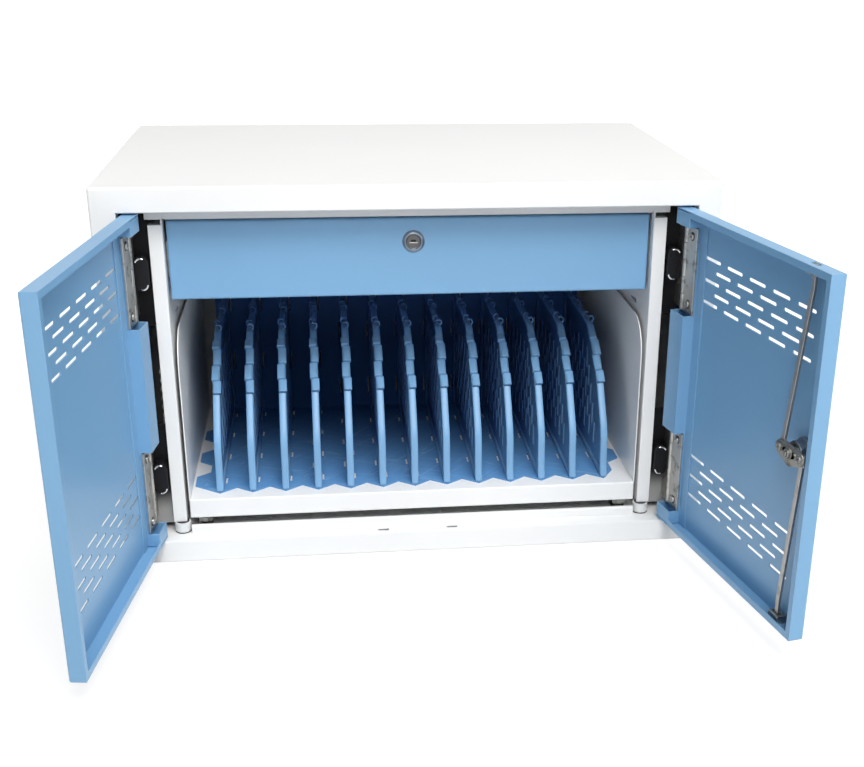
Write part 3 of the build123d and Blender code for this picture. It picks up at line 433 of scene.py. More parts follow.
FOOT_RADIUS = 8.25 * MM
DRAWER_FACE = -165 * MM
LOCK_U, LOCK_HEIGHT = 244.5 * MM, 196 * MM  # the rod lock's axis from the hinge edge, and its height
CRANK_LEVEL, CRANK_SHEET = 15.5 * MM, 2 * MM
CRANK_FACE = CRANK_LEVEL + CRANK_SHEET
CRANK_RADIUS = 16 * MM
CRANK_DISCS = ((-16, 0, 6.5), (16, 0, 6.5), (0, -2, 10))  # (along, up, radius) of the discs a band goes round

# profiles of turned pieces, as (radius, height) in millimetres
# dark ring round a hinge screw: painted shadow
SCREW_SHADOW_RING = ((0, -0.3), (4.4, -0.3), (4.5, -0.2), (4.5, 0.2), (4.4, 0.3), (0, 0.3))
# dark ring under a foot: painted contact shadow
FOOT_SHADOW_RING = ((0, 0.02), (8.1, 0.02), (8.3, 0.2), (8.3, 0.6), (8.1, 0.8), (0, 0.8))
LOCK_BACK, CORE_FACE = -18, 1.1  # where the drawer lock's turned pieces start, and its core ends
LOCK_FACE = (
    (6.55, LOCK_BACK), (9.5, LOCK_BACK), (9.5, 0), (11, 0), (11, 0.3), (10.7, 0.6), (9.2, 2.0), (8.6, 2.4),
    (8.1, 2.5), (7.7, 2.4), (7.3, 1.9), (7.0, 1.2), (6.55, 0.9),
)
LOCK_CORE = ((0, LOCK_BACK), (6.5, LOCK_BACK), (6.5, 0.7), (6.35, 1.0), (6.15, CORE_FACE))
CORE_CROWN = 6.0
BARREL_FOOT = ((8.05, 1.2), (12.5, 1.2), (12.5, 3.7), (12.0, 4.2))
BARREL_TOP = ((10.4, 11.4), (9.9, 12.0), (8.05, 12.0))
THREAD_START, THREAD_END, THREAD_PITCH, THREAD_DEPTH, THREAD_RADIUS = 4.2, 10.8, 1.1, 0.12, 10.5
NUT = (
    (0, 0), (5.3, 0), (5.3, 0.9), (5.0, 1.2), (4.5, 1.2), (4.4, 0.7), (4.2, 0.7), (4.1, 3.1), (3.7, 3.6),
    (2.9, 3.6), (2.8, 3.2), (2.4, 3.2), (2.4, 4.5), (2.0, 5.0), (1.0, 5.0), (0, 5.0),
)
CRANK_PIN = ((0, 12.5), (1.8, 12.5), (2.0, 12.7), (2.0, 15.6), (0, 15.6))

# pan heads, as radius, height and rounding of the rim, with reach, width and depth of the cross slot
LEAF_HEAD, LEAF_CROSS = (3.8, 2.4, 0.8), (2.2, 1, 1.4)
RACK_HEAD, RACK_CROSS = (4.5, 1.8, 0.7), (2.6, 1.1, 1.3)
CRANK_HEAD, CRANK_CROSS = (3.8, 2.2, 0.7), (2.3, 1, 1.4)
PIN_CAP = (2.4, 0.9, 0.3)
HEAD_SIDE = 0.82  # share of a head's height below its crown


# ---- shapes


def round_turn(count):
    """Angles of evenly spaced points round a circle."""
    return np.linspace(0, 2 * math.pi, count, endpoint=False)


def squared(wave, power):
    """A sine or cosine taken to a power below 1 with its sign kept, which makes a circle squarer."""
    return np.sign(wave) * abs(wave) ** power


def unit(vectors):
    """Rows of vectors, each divided by its length."""
    return vectors / np.linalg.norm(vectors, axis=1)[:, None]


def surface(points, wrap_rows=False):
    """A grid of points, rows x columns x 3 and closed round its columns, as (points, quads)."""
    rows, columns = points.shape[:2]
    i, j = np.meshgrid(np.arange(rows if wrap_rows else rows - 1), np.arange(columns), indexing="ij")
    after_i, after_j = (i + 1) % rows, (j + 1) % columns
    corners = (i * columns + j, i * columns + after_j, after_i * columns + after_j, after_i * columns + j)
    return points.reshape(-1, 3), np.stack(corners, -1).reshape(-1, 4)


def lathe(profile, origin, axis, across, turns=48, relief=None, wrap=False):
    """A profile of (r, h) in millimetres turned about an axis w: origin + r (cos t u + sin t v) + h w.

    relief(x, y) is how far a point of the profile's upper part, at x along u and y along v, sinks along w.
    """
    profile = np.array(profile, float) * MM
    u, w = np.array(across, float), np.array(axis, float)
    v = np.cross(w, u)
    turn = round_turn(turns)
    x = profile[:, :1] * np.cos(turn)
    y = profile[:, :1] * np.sin(turn)
    height = np.broadcast_to(profile[:, 1:], x.shape).copy()
    if relief is not None:
        upper = profile[:, 1:] > profile[:, 1].max() * 0.45
        height -= np.where(upper, relief(x, y), 0)
    points = np.array(origin) + x[..., None] * u + y[..., None] * v + height[..., None] * w
    return surface(points, wrap)


def dome(radius, height, rim, rings=26):
    """Profile of a pan head: up a rounded side, then in over a crown that rises as 1 - (r / R)^2."""
    corner = np.linspace(0, math.pi / 2, 6)
    side_r = radius - rim + rim * np.cos(corner)
    side_h = height * HEAD_SIDE - rim + rim * np.sin(corner)
    crown_r = np.linspace(radius - rim, 0, rings)[1:]
    crown_h = height * (HEAD_SIDE + (1 - HEAD_SIDE) * (1 - (crown_r / (radius - rim)) ** 2))
    radii = np.concatenate(([0, radius], side_r, crown_r))
    heights = np.concatenate(([0, 0], side_h, crown_h))
    return np.column_stack((radii, heights))


def cross_recess(reach, width, depth, turn):
    """Relief of a cross slot: its depth where either coordinate is within half a width, out to its reach."""
    reach, width, depth = reach * MM, width * MM, depth * MM

    def relief(x, y):
        a = x * math.cos(turn) + y * math.sin(turn)
        b = y * math.cos(turn) - x * math.sin(turn)
        narrow = np.minimum(abs(a), abs(b)) / (width / 2)
        far = np.maximum(abs(a), abs(b)) / reach
        return depth * np.clip((1.25 - narrow) * 4, 0, 1) * np.clip((1.1 - far) * 5, 0, 1)
    return relief


def pan_head(head, cross, turn, spot, axis, across):
    """A screw's pan head with a turned cross slot, on a spot of a face whose normal is the axis."""
    return lathe(dome(*head), spot, axis, across, relief=cross_recess(*cross, turn))


TUBE_TILT = (0.31, 0.17, 0.53)  # turns the middle of a path off itself, to find a direction across it


def tube(path, radius, sides=12, end_share=0.06):
    """A round wire along a path, closed by rounded ends: path + radius r(s) (cos t n + sin t b)."""
    path = np.array(path, float)
    tangent = unit(np.gradient(path, axis=0))
    normal = unit(np.cross(tangent, tangent[len(tangent) // 2] + np.array(TUBE_TILT)))
    binormal = np.cross(tangent, normal)
    run = np.linspace(-1, 1, len(path))
    into_end = np.clip((abs(run) - (1 - end_share)) / end_share, 0, 1)
    reach = radius * np.sqrt(1 - into_end**2)
    turn = round_turn(sides)
    ring = np.cos(turn)[None, :, None] * normal[:, None] + np.sin(turn)[None, :, None] * binormal[:, None]
    return surface(path[:, None] + reach[:, None, None] * ring)


def joined(parts):
    """Several (points, faces) pairs as one array of points and one list of faces."""
    starts = np.cumsum([0] + [len(points) for points, _ in parts])
    faces = [face for (_, quads), start in zip(parts, starts) for face in (quads + start).tolist()]
    return np.concatenate([points for points, _ in parts]), faces


def piece(name, shapes, material, body, slot, *nodes, smooth=40):
    """Puts (points, faces) pairs into one object with a named material, shades it and rides it on a body."""
    points, faces = joined(shapes)
    mesh = bpy.data.meshes.new(name)
    mesh.from_pydata(points.tolist(), [], faces)
    merge(mesh)
    mesh.shade_smooth()
    mesh.set_sharp_from_angle(angle=math.radians(smooth))
    mesh.materials.append(bpy.data.materials[material])
    made = add_object(bpy.context.scene, name, mesh)
    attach(made, body)
    if nodes:
        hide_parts(*nodes)
    return made


def add_object(scene, name, data):
    """Makes an object of some data and links it to the scene."""
    made = bpy.data.objects.new(name, data)
    scene.collection.objects.link(made)
    return made


def merge(mesh, distance=1e-7):
    """Merges doubled points, which closes the poles, drops faces without area and turns the rest outwards."""
    work = bmesh.new()
    work.from_mesh(mesh)
    bmesh.ops.remove_doubles(work, verts=work.verts, dist=distance)
    bmesh.ops.dissolve_degenerate(work, dist=distance, edges=work.edges)
    bmesh.ops.recalc_face_normals(work, faces=work.faces)
    work.to_mesh(mesh)
    work.free()


def door_frame(name):
    """An open door's hinge edge, the unit vector towards its free edge, and the one inwards."""
    side = SIDES[name]
    turn = math.radians(OPEN_ANGLE[name]) * side
    along = -side * np.array((math.cos(turn), math.sin(turn), 0))
    inward = np.array((-math.sin(turn), math.cos(turn), 0))
    hinge = np.array((side * HINGE_X, HINGE_Y, 0))
    return hinge - HINGE_EDGE * along - HINGE_SET_BACK * inward, along, inward


def on_door(name, along, depth, height):
    """Place on an open door: distance from the hinge edge, depth behind the outer skin and height."""
    corner, run, inward = door_frame(name)
    return corner + along * run + depth * inward + np.array((0, 0, height))


# ---- dividers

# Sizes here are in millimetres. An outline's points are (behind the case's face, above the divider's foot).
CASE_FRONT = 195
BAY_TOP = 60.5
DIVIDER_HEIGHT = 142.5
DIVIDER_BACK = 280
DIVIDER_FRONT = (
    (38, 0), (42, 12), (45, 50), (76, 95), (85, 106), (101, 118), (117, 131), (143, DIVIDER_HEIGHT),
)
CORNER_CUTS = (1.5, 5, 13, 1.3, 1.1, 1.1, 1.1, 6, 3, 3)
RIM_HALF, RIM_DEPTH, RIM_STEPS, INNER_CUT = 3.8, 5, 5, 0.6
NOTCHES, NOTCH = (3, 4, 5, 6), 0.6  # corners with a notch, and the share of the rim that it takes
CLIP_HALF, CLIP_RISE, CLIP_ROOT = 3.9, 3.4, 3  # half width, height above the rim and depth of its root
CLIP_EDGE, CLIP_LAP = 0.35, 0.4  # rounding of a clip's ends, and how far its top sinks at its head
CLIPS = ((3, 1, 1.0), (4, 1, -1.0), (5, 1, 1.0), (6, 0.5, -1.0))  # front run, share of it, sideways shift
WEB_HALF, WEB_INSET = 1.3, 1.5
SLOT_HALF, SLOT_REACH = 1.5, 11.5  # slot's radius, and its ends' centres from its middle
SLOT_STEP, SLOT_ROW, SLOT_MARGIN = 13, 36, 13
LIP_STAND, LIP_HALF, LIP_REACH = 0.7, 0.5, 11  # stand-off from the web, half thickness and half height
LIP_BEHIND, LIP_ROOT = 2.2, 0.2  # lip's middle behind its slot's, and how far it sinks into the web
HOOK_RADIUS, HOOK_WIRE, HOOK_DEPTH, HOOK_OFFSET, HOOK_SWEEP = 3.2, 1.6, 4, 0.9, 235
HOOKS = ((143, 1), (160, -1), (209, 1), (226, -1), (275, 1))  # front edge and side of each hook


def rounded_corners(corners, cuts):
    """Cuts each corner P of a closed outline by the curve (1 - t)^2 A + 2 t (1 - t) P + t^2 B.

    A and B lie on the runs to the neighbouring corners, at the cut's distance from P.
    """
    start = corners + unit(np.roll(corners, 1, 0) - corners) * cuts[:, None]
    end = corners + unit(np.roll(corners, -1, 0) - corners) * cuts[:, None]
    t = np.linspace(0, 1, RIM_STEPS)[None, :, None]
    curve = (1 - t) ** 2 * start[:, None] + 2 * t * (1 - t) * corners[:, None] + t**2 * end[:, None]
    return curve.reshape(-1, 2)


def inset_outline(corners, distance):
    """Moves an outline's corners inwards by a distance: along (n1 + n2) / (1 + n1 . n2)."""
    run = unit(np.roll(corners, -1, 0) - corners)
    normal = np.column_stack((run[:, 1], -run[:, 0]))
    previous = np.roll(normal, 1, 0)
    share_of = 1 + np.sum(normal * previous, axis=1)
    return corners + distance * (normal + previous) / share_of[:, None]


def rim_bead(outline):
    """Rim round a divider: (x, y, z) = (w cos a, O + (I - O) (1 - sin a) / 2) from outer to inner outline.

    The sine and the cosine are squared up, and the bead sinks to a notch under the foot of each clip.
    """
    cuts = np.array(CORNER_CUTS, float)
    outer = rounded_corners(outline, cuts)
    inner = rounded_corners(inset_outline(outline, RIM_DEPTH), cuts * INNER_CUT)
    angle = round_turn(20)
    depth = 0.5 - 0.5 * squared(np.sin(angle), 0.6)
    notched = np.array([corner in NOTCHES for corner in range(len(outline))], float)
    notch = NOTCH * (notched[:, None] * np.sin(math.pi * np.linspace(0, 1, RIM_STEPS))).reshape(-1, 1)
    depth = depth + notch * (1 - depth)
    across = outer[:, None] + (inner - outer)[:, None] * depth[..., None]
    lateral = RIM_HALF * squared(np.cos(angle), 0.6)
    x = np.broadcast_to(lateral[None, :, None], (*across.shape[:2], 1))
    return surface(np.concatenate((x, across), -1), wrap_rows=True)


def cable_clip(foot, head, shift):
    """Shingle on a divider's front edge, which stands off it by r (1 - s / L) at s along the run of length L.

    Each ring is (x, outwards) = (shift + k w cos a, m + k h sin a) with the sine and cosine squared up. The
    rings' sizes k round both ends and shrink to a point to close them.
    """
    run = np.subtract(head, foot)
    reach = np.linalg.norm(run)
    run = run / reach
    outward = np.array((-run[1], run[0]))
    s = np.array((0, 0, CLIP_EDGE, reach - CLIP_EDGE, reach, reach))[:, None]
    k = np.array((0, 0.86, 1, 1, 0.86, 0))[:, None]
    angle = round_turn(16)
    top = CLIP_RISE * (1 - s / reach) - CLIP_LAP
    out = (top - CLIP_ROOT) / 2 + k * (top + CLIP_ROOT) / 2 * squared(np.sin(angle), 0.5)
    flat = np.array(foot) + s[..., None] * run + out[..., None] * outward
    x = shift + k * CLIP_HALF * squared(np.cos(angle), 0.5)
    return surface(np.concatenate((x[..., None], flat), -1))


def slot_lips(centres, inner, outer):
    """Upright lip behind each slot, on both sides of a divider: boxes from x = inner to x = outer."""
    corners = np.array(list(product((0, 1), repeat=3)), float)
    quads = np.array(((0, 1, 3, 2), (4, 6, 7, 5), (0, 4, 5, 1), (2, 3, 7, 6), (0, 2, 6, 4), (1, 5, 7, 3)))
    shapes = []
    for side in (-1, 1):
        x = side * (inner + (outer - inner) * corners[:, 0])
        y = centres[:, :1] + LIP_BEHIND + LIP_HALF * (2 * corners[:, 1] - 1)
        z = centres[:, 1:] + LIP_REACH * (2 * corners[:, 2] - 1)
        points = np.stack((np.broadcast_to(x, y.shape), y, z), -1).reshape(-1, 3)
        faces = (quads[None] + 8 * np.arange(len(centres))[:, None, None]).reshape(-1, 4)
        shapes.append((points, faces))
    return shapes


def hook_strip(start, side):
    """Curled cable hook on a divider's top: an arc of a flat strip, C + (R + a) (cos t, sin t), b along Y."""
    t = np.radians(-90 + side * HOOK_SWEEP * np.linspace(0, 1, 22))
    end = np.sqrt(np.clip(1 - np.clip((abs(np.linspace(-1, 1, 22)) - 0.9) / 0.1, 0, 1) ** 2, 0, 1))
    angle = round_turn(12)
    a = HOOK_WIRE / 2 * squared(np.cos(angle), 0.6)
    b = HOOK_DEPTH / 2 * squared(np.sin(angle), 0.6)
    reach = HOOK_RADIUS + end[:, None] * a
    x = side * HOOK_OFFSET + reach * np.cos(t)[:, None]
    z = DIVIDER_HEIGHT + HOOK_RADIUS + reach * np.sin(t)[:, None]
    y = start + HOOK_DEPTH / 2 + end[:, None] * b
    return surface(np.stack((x, y, z), -1))


def web_slot_centres():
    """Centres of the tall slots in a divider's side, in columns that step half a row."""
    inset = RIM_DEPTH + SLOT_MARGIN
    centres = []
    for column, y in enumerate(np.arange(DIVIDER_FRONT[2][0] + inset, DIVIDER_BACK - inset, SLOT_STEP)):
        low = inset + SLOT_MARGIN + SLOT_ROW / 2 * (column % 2)
        high = np.interp(y - SLOT_MARGIN, *np.array(DIVIDER_FRONT).T) - inset - SLOT_MARGIN
        centres += [(y, z) for z in np.arange(low, high, SLOT_ROW)]
    return np.array(centres)


def pierced_plate(outline, holes, half):
    """Flat plate with holes, half its thickness either side of x = 0: filled outlines joined by walls."""
    loops = [outline, *holes]
    flat = np.concatenate(loops)
    edges = []
    for start, loop in zip(np.cumsum([0] + [len(loop) for loop in loops]), loops):
        index = np.arange(len(loop))
        edges.append(np.column_stack((index, (index + 1) % len(loop))) + start)
    edges = np.concatenate(edges)
    mesh = bpy.data.meshes.new("fill")
    mesh.from_pydata(np.insert(flat, 0, 0, axis=1).tolist(), edges.tolist(), [])
    work = bmesh.new()
    work.from_mesh(mesh)
    bmesh.ops.triangle_fill(work, use_beauty=True, edges=work.edges)
    work.to_mesh(mesh)
    work.free()
    corners = np.empty(len(mesh.loops), int)
    mesh.loops.foreach_get("vertex_index", corners)
    bpy.data.meshes.remove(mesh)
    count = len(flat)
    points = np.concatenate([np.insert(flat, 0, x, axis=1) for x in (-half, half)])
    sides = np.concatenate((corners.reshape(-1, 3), corners.reshape(-1, 3) + count))
    walls = np.column_stack((edges, edges[:, ::-1] + count))
    return [(points, sides), (points, walls)]


def divider_shapes(outline):
    """One divider's web, rim, clips, slot lips and hooks, in millimetres."""
    turn = round_turn(12)
    end = np.where(np.sin(turn) > 0, 1, -1)
    slot = np.column_stack((SLOT_HALF * np.cos(turn), SLOT_HALF * np.sin(turn) + SLOT_REACH * end))
    centres = web_slot_centres()
    web = pierced_plate(inset_outline(outline, WEB_INSET), [centre + slot for centre in centres], WEB_HALF)
    front = np.array(DIVIDER_FRONT, float)
    clips = []
    for step, share_of_run, shift in CLIPS:
        foot, head = front[step], front[step + 1]
        clips.append(cable_clip(foot, foot + (head - foot) * share_of_run, shift))
    lips = slot_lips(centres, WEB_HALF - LIP_ROOT, WEB_HALF + LIP_STAND)
    return [*web, rim_bead(outline), *clips, *lips, *(hook_strip(start, side) for start, side in HOOKS)]


# ---- crank


def crank_plate(seat, along, inward):
    """Plate in the band round three discs: for each direction d, C + (r - e) d of the furthest disc.

    e takes the edge in to round it, and the last rings shrink to the middle to close the two faces.
    """
    discs = np.array(CRANK_DISCS) * MM
    t = round_turn(120)
    d = np.column_stack((np.cos(t), np.sin(t)))
    furthest = np.argmax(d @ discs[:, :2].T + discs[:, 2], axis=1)
    centre, radius = discs[furthest, :2], discs[furthest, 2:]
    edge = CRANK_SHEET * 0.25
    rings = [centre * 0, centre + (radius - edge) * d]
    heights = [CRANK_LEVEL, CRANK_LEVEL]
    for e, h in ((0.3, 0.3), (0, 1), (0, CRANK_SHEET / edge - 1), (0.3, CRANK_SHEET / edge - 0.3)):
        rings.append(centre + (radius - e * edge) * d)
        heights.append(CRANK_LEVEL + h * edge)
    rings += [centre + (radius - edge) * d, centre * 0]
    heights += [CRANK_FACE, CRANK_FACE]
    flat = np.array(rings)
    flat_places = seat + flat[..., :1] * along + flat[..., 1:] * np.array(UP)
    return surface(flat_places + np.array(heights)[:, None, None] * inward)


# ---- operators


class CABINET_OT_paint_sheet(bpy.types.Operator):
    """Powder-coat the case, the rack, the tray, the doors and the drawer"""

    bl_idname = "cabinet.paint_sheet"
    bl_label = "Paint sheet steel"

    def execute(self, context):
        paint = context.scene.cabinet.paint
        peel = 1 / paint.peel_size
        for name, tint, foot, index, nodes in (
            ("case_white_coat", paint.case_colour, paint.case_colour, 1.5, SHEET_WHITE),
            ("door_blue_coat", paint.door_colour, paint.door_colour, 1.5, SHEET_BLUE),
            # hinge rails: black stands in for the shade of the side cavity, grey below for white in shade:
            # painted shade
            ("rail_painted_shade", (0.012, 0.012, 0.014), (0.42, 0.42, 0.41), 1.2, ("hinge_rails",)),
        ):
            values = {"Colour": tint, "Foot Colour": foot, "Peel Scale": peel, "Roughness": paint.gloss}
            paint_coat = surface_material(
                name, "powder_coat", values, 0.5, paint.peel_height, 0.8 * MM, IOR=index,
            )
            coat(paint_coat, *nodes)
        return {"FINISHED"}


class CABINET_OT_mould_bays(bpy.types.Operator):
    """Give the bay base, the feet, the hinge blocks and the rack's washer rings their moulded plastic and
    rubber
    """

    bl_idname = "cabinet.mould_bays"
    bl_label = "Mould bays"

    def execute(self, context):
        paint = context.scene.cabinet.paint
        # scratches are wear; Shade is painted shade deeper in the bay, under the drawer
        wear_and_painted_light = {"Scratches": 0.2, "Shade": 0.9, "Shade Run": 0.16}
        for name, tint, roughness, index, extra, node in (
            ("bay_blue_plastic", paint.bay_colour, 0.35, 1.25, wear_and_painted_light, "bay_base"),
            ("foot_white_plastic", (0.78, 0.79, 0.78), 0.42, 1.48, {}, "rack_feet"),
            ("block_black_plastic", (0.012, 0.012, 0.014), 0.2, 1.25, {}, "hinge_blocks"),
            # dark rubber of the rack's washers; the same material makes the rings of painted shadow
            ("dark_rubber_and_painted_shadow", (0.03, 0.03, 0.032), 0.6, 1.48, {}, "rack_washers"),
        ):
            values = {"Colour": tint, "Roughness": roughness, **extra}
            plastic = surface_material(name, "moulded_plastic", values, 0.25, BUMP_DEPTH, 0.6 * MM, IOR=index)
            coat(plastic, node)
        return {"FINISHED"}


class CABINET_OT_plate_metal(bpy.types.Operator):
    """Give the hinges, slides, rods and locks their plated and bare metal"""

    bl_idname = "cabinet.plate_metal"
    bl_label = "Plate metal"

    def execute(self, context):
        metal = context.scene.cabinet.metal
        door_metal = [f"door_{side}_{part}" for side in SIDES for part in ("hinge_leaves", "hinge_backing")]
        for name, tint, grain, roughness, smudge, edge, nodes in (
            ("hinge_zinc", metal.zinc, (60, 60, 1800), 0.3, 1.5, 0.9,
             ("hinge_leaves_fixed", "hinge_pins", "rod_guides", "drawer_lock_cam", *door_metal)),
            ("slide_zinc", (0.52, 0.53, 0.53), (900, 30, 900), 0.35, 0.5, 0.4,
             ("slide_rails", "drawer_runners")),
            ("rod_steel", metal.steel, (900, 900, 25), 0.4, 0.8, 0.9, ("rod_upper", "rod_lower")),
            ("lock_chrome", metal.chrome, (300, 300, 300), 0.14, 0.3, 0.4, ("lock_escutcheon", "lock_plug")),
            # darker copies of chrome for the drawer's lock: painted reflection of the blue drawer and the
            # dark room
            ("lock_chrome_painted_blue_reflection", metal.chrome_blue_reflection, (300, 300, 300), 0.3, 0.4, 0.4, ()),
            ("lock_chrome_painted_dark_reflection", metal.chrome_dark_reflection, (300, 300, 300), 0.3, 0.4, 0.4, ()),
            ("screw_zinc", (0.44, 0.435, 0.41), (700, 700, 700), 0.22, 0.9, 0.3, ()),
            # dark zinc of the crank; on the tray runners under the tray the darkness is painted shade
            ("dark_zinc_and_runner_shade", (0.27, 0.27, 0.25), (700, 700, 700), 0.42, 1.2, 0.5, ("tray_runners",)),
            # darker, bluish zinc: painted reflection of the blue door on the barrel
            ("barrel_zinc_and_blue_reflection", (0.25, 0.29, 0.33), (300, 300, 300), 0.34, 0.5, 0.5, ()),
        ):
            values = {"Colour": tint, "Grain Scale": grain, "Roughness": roughness, "Smudge": smudge}
            plate = surface_material(name, "rolled_metal", values, 0.3, BUMP_DEPTH, edge * MM, Metallic=1.0)
            coat(plate, *nodes)
        return {"FINISHED"}


class CABINET_OT_stand_dividers(bpy.types.Operator):
    """Stand the moulded dividers, with rounded rims, cable clips and hooks, in place of the plain ones"""

    bl_idname = "cabinet.stand_dividers"
    bl_label = "Stand dividers"

    def execute(self, context):
        paint = context.scene.cabinet.paint
        # painted shade: the dividers darken towards navy deeper under the drawer
        shade = {"Shade": 0.85, "Shade Start": -0.09, "Shade Run": 0.06}
        values = {"Colour": paint.divider_colour, "Roughness": 0.24, **shade}
        plastic = "divider_blue_plastic"
        surface_material(plastic, "moulded_plastic", values, 0.25, BUMP_DEPTH, 0.5 * MM, IOR=1.4)
        outline = np.array((*DIVIDER_FRONT, (DIVIDER_BACK, DIVIDER_HEIGHT), (DIVIDER_BACK, 0)), float)
        shapes = divider_shapes(outline)
        for node in DIVIDERS:
            low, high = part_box(node)
            foot = np.array(((low[0] + high[0]) / 2, -CASE_FRONT * MM, BAY_TOP * MM))
            placed = [(points * MM + foot, faces) for points, faces in shapes]
            piece(f"{node}_moulding", placed, plastic, "tray", "divider_blue", node)
        return {"FINISHED"}


class CABINET_OT_fit_hinges(bpy.types.Operator):
    """Fit the hinges' pin caps and the round-wire clips on their black blocks"""

    bl_idname = "cabinet.fit_hinges"
    bl_label = "Fit hinges"

    def execute(self, context):
        caps, clips = [], []
        for side, (level, end) in product(SIDES.values(), product(HINGE_LEVELS, (-1, 1))):
            place = (side * HINGE_X, HINGE_Y, level + end * (HINGE_HALF - PIN_CAP_SINK))
            caps.append(lathe(dome(*PIN_CAP, 6), place, (0, 0, end), RIGHTWARDS, 24))
            middle = np.radians(end * 90 - side * CLIP_LEAN[end])
            t = middle + np.radians(CLIP_SWEEP) * np.linspace(-0.5, 0.5, 24)
            centre = np.array((side * CLIP_PLACE[0], CLIP_PLACE[1], level + end * CLIP_RISE_FALL))
            ring = np.stack((np.cos(t), 0 * t, np.sin(t)), -1) * CLIP_RADIUS
            clips.append(tube(centre + ring, CLIP_WIRE))
        piece("hinge_pin_caps", caps, "screw_zinc", "cabinet", "hinge_steel")
        piece("hinge_clip_wires", clips, "lock_chrome", "cabinet", "lock_chrome", "hinge_clips")
        return {"FINISHED"}


class CABINET_OT_fit_screws(bpy.types.Operator):
    """Fit the hinge leaves' and the rack's pan-head screws, and dark rings of painted shadow round the leaf
    screws and under the feet
    """

    bl_idname = "cabinet.fit_screws"
    bl_label = "Fit screws"

    def execute(self, context):
        for name in SIDES:
            _, along, inward = door_frame(name)
            screws, screw_shadows = [], []
            for level, end in product(HINGE_LEVELS, (-1, 1)):
                spot = on_door(name, SCREW_U, LEAF_FACE, level + end * SCREW_REACH)
                turn = 0.5 + 1.3 * level * end
                screws.append(pan_head(LEAF_HEAD, LEAF_CROSS, turn, spot, inward, along))
                # dark ring round each screw head: painted shadow
                screw_shadows.append(lathe(SCREW_SHADOW_RING, spot, inward, along, 32))
            door = f"door_{name}"
            piece(f"{door}_pan_heads", screws, "screw_zinc", door, "hinge_steel", f"{door}_hinge_screws")
            piece(f"{door}_screw_shadow_rings", screw_shadows, "dark_rubber_and_painted_shadow", door, "hinge_steel")
        low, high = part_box("rack_screws")
        screws = [
            pan_head(RACK_HEAD, RACK_CROSS, 0.4 * side,
                     (side * high[0], (low[1] + high[1]) / 2, (low[2] + high[2]) / 2),
                     (-side, 0, 0), BACKWARDS)
            for side in SIDES.values()
        ]
        piece("rack_pan_heads", screws, "screw_zinc", "cabinet", "hinge_steel", "rack_screws")
        low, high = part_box("rack_feet")
        # dark rings under the feet: painted contact shadow
        foot_shadows = [
            lathe(FOOT_SHADOW_RING, (side * (high[0] - FOOT_RADIUS), y, low[2]), UP, RIGHTWARDS)
            for side in SIDES.values() for y in (low[1] + FOOT_RADIUS, high[1] - FOOT_RADIUS)
        ]
        piece("rack_foot_shadow_rings", foot_shadows, "dark_rubber_and_painted_shadow", "cabinet", "washer_dark")
        return {"FINISHED"}


class CABINET_OT_fit_drawer_lock(bpy.types.Operator):
    """Fit the drawer's round lock: a bevelled chrome face, and a core whose keyway is a dark bar of painted
    shade over a bright bar of painted highlight
    """

    bl_idname = "cabinet.fit_drawer_lock"
    bl_label = "Fit drawer lock"

    def execute(self, context):
        low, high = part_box("drawer_lock_body")
        centre = np.array(((low[0] + high[0]) / 2, DRAWER_FACE, (low[2] + high[2]) / 2))
        face = lathe(LOCK_FACE, centre, FORWARDS, RIGHTWARDS, 72, wrap=True)
        piece(
            "drawer_lock_face", [face], "lock_chrome_painted_blue_reflection", "drawer", "lock_chrome", "drawer_lock_body",
            smooth=25,
        )
        crown = np.linspace(CORE_CROWN, 0, 44)
        profile = np.concatenate((LOCK_CORE, np.column_stack((crown, CORE_FACE + 0 * crown))))
        core = lathe(profile, centre, FORWARDS, RIGHTWARDS)
        piece(
            "drawer_lock_core", [core], "lock_chrome_painted_dark_reflection", "drawer_lock", "lock_chrome", "drawer_lock_plug",
            smooth=25,
        )
        # dark bar in the keyway as painted shade, bright bar below it as painted highlight
        for name, reach, radius, level, material in (
            ("drawer_lock_keyway_shade", 2.6, 1.1, 0.7, "block_black_plastic"),
            ("drawer_lock_keyway_highlight", 4.6, 0.6, -1.1, "screw_zinc"),
        ):
            middle = centre + np.array((0, -CORE_FACE, level)) * MM
            run = np.linspace(-reach, reach, 24)[:, None] * MM * np.array(RIGHTWARDS)
            bar = tube(middle + run, radius * MM, end_share=0.3)
            piece(name, [bar], material, "drawer_lock", "lock_chrome")
        return {"FINISHED"}


class CABINET_OT_fit_rod_lock(bpy.types.Operator):
    """Fit the rod lock's threaded barrel, and its crank with a nut and two pan-head screws"""

    bl_idname = "cabinet.fit_rod_lock"
    bl_label = "Fit rod lock"

    def execute(self, context):
        _, along, inward = door_frame("right")
        seat = on_door("right", LOCK_U, 0, LOCK_HEIGHT)
        thread = np.linspace(THREAD_START, THREAD_END, 45)
        turns = (thread - THREAD_START) / THREAD_PITCH
        ridge = THREAD_RADIUS - THREAD_DEPTH * (0.5 - 0.5 * np.cos(turns * 2 * math.pi))
        profile = np.concatenate((BARREL_FOOT, np.column_stack((ridge, thread)), BARREL_TOP))
        barrel = lathe(profile, seat, inward, along, 72, wrap=True)
        name = "rod_lock_barrel"
        piece(name, [barrel], "barrel_zinc_and_blue_reflection", "door_right", "lock_chrome", "lock_housing", smooth=30)
        face = seat + CRANK_FACE * inward
        shapes = [crank_plate(seat, along, inward), lathe(NUT, face, inward, along, 36)]
        for arm, turn in ((-1, 0.3), (1, 0.9)):
            reach = arm * CRANK_RADIUS * along
            shapes.append(pan_head(CRANK_HEAD, CRANK_CROSS, turn, face + reach, inward, along))
            shapes.append(lathe(CRANK_PIN, seat + reach, inward, along, 20))
        piece("rod_lock_crank", shapes, "dark_zinc_and_runner_shade", "rod_lock", "hinge_steel", "lock_crank", smooth=35)
        return {"FINISHED"}


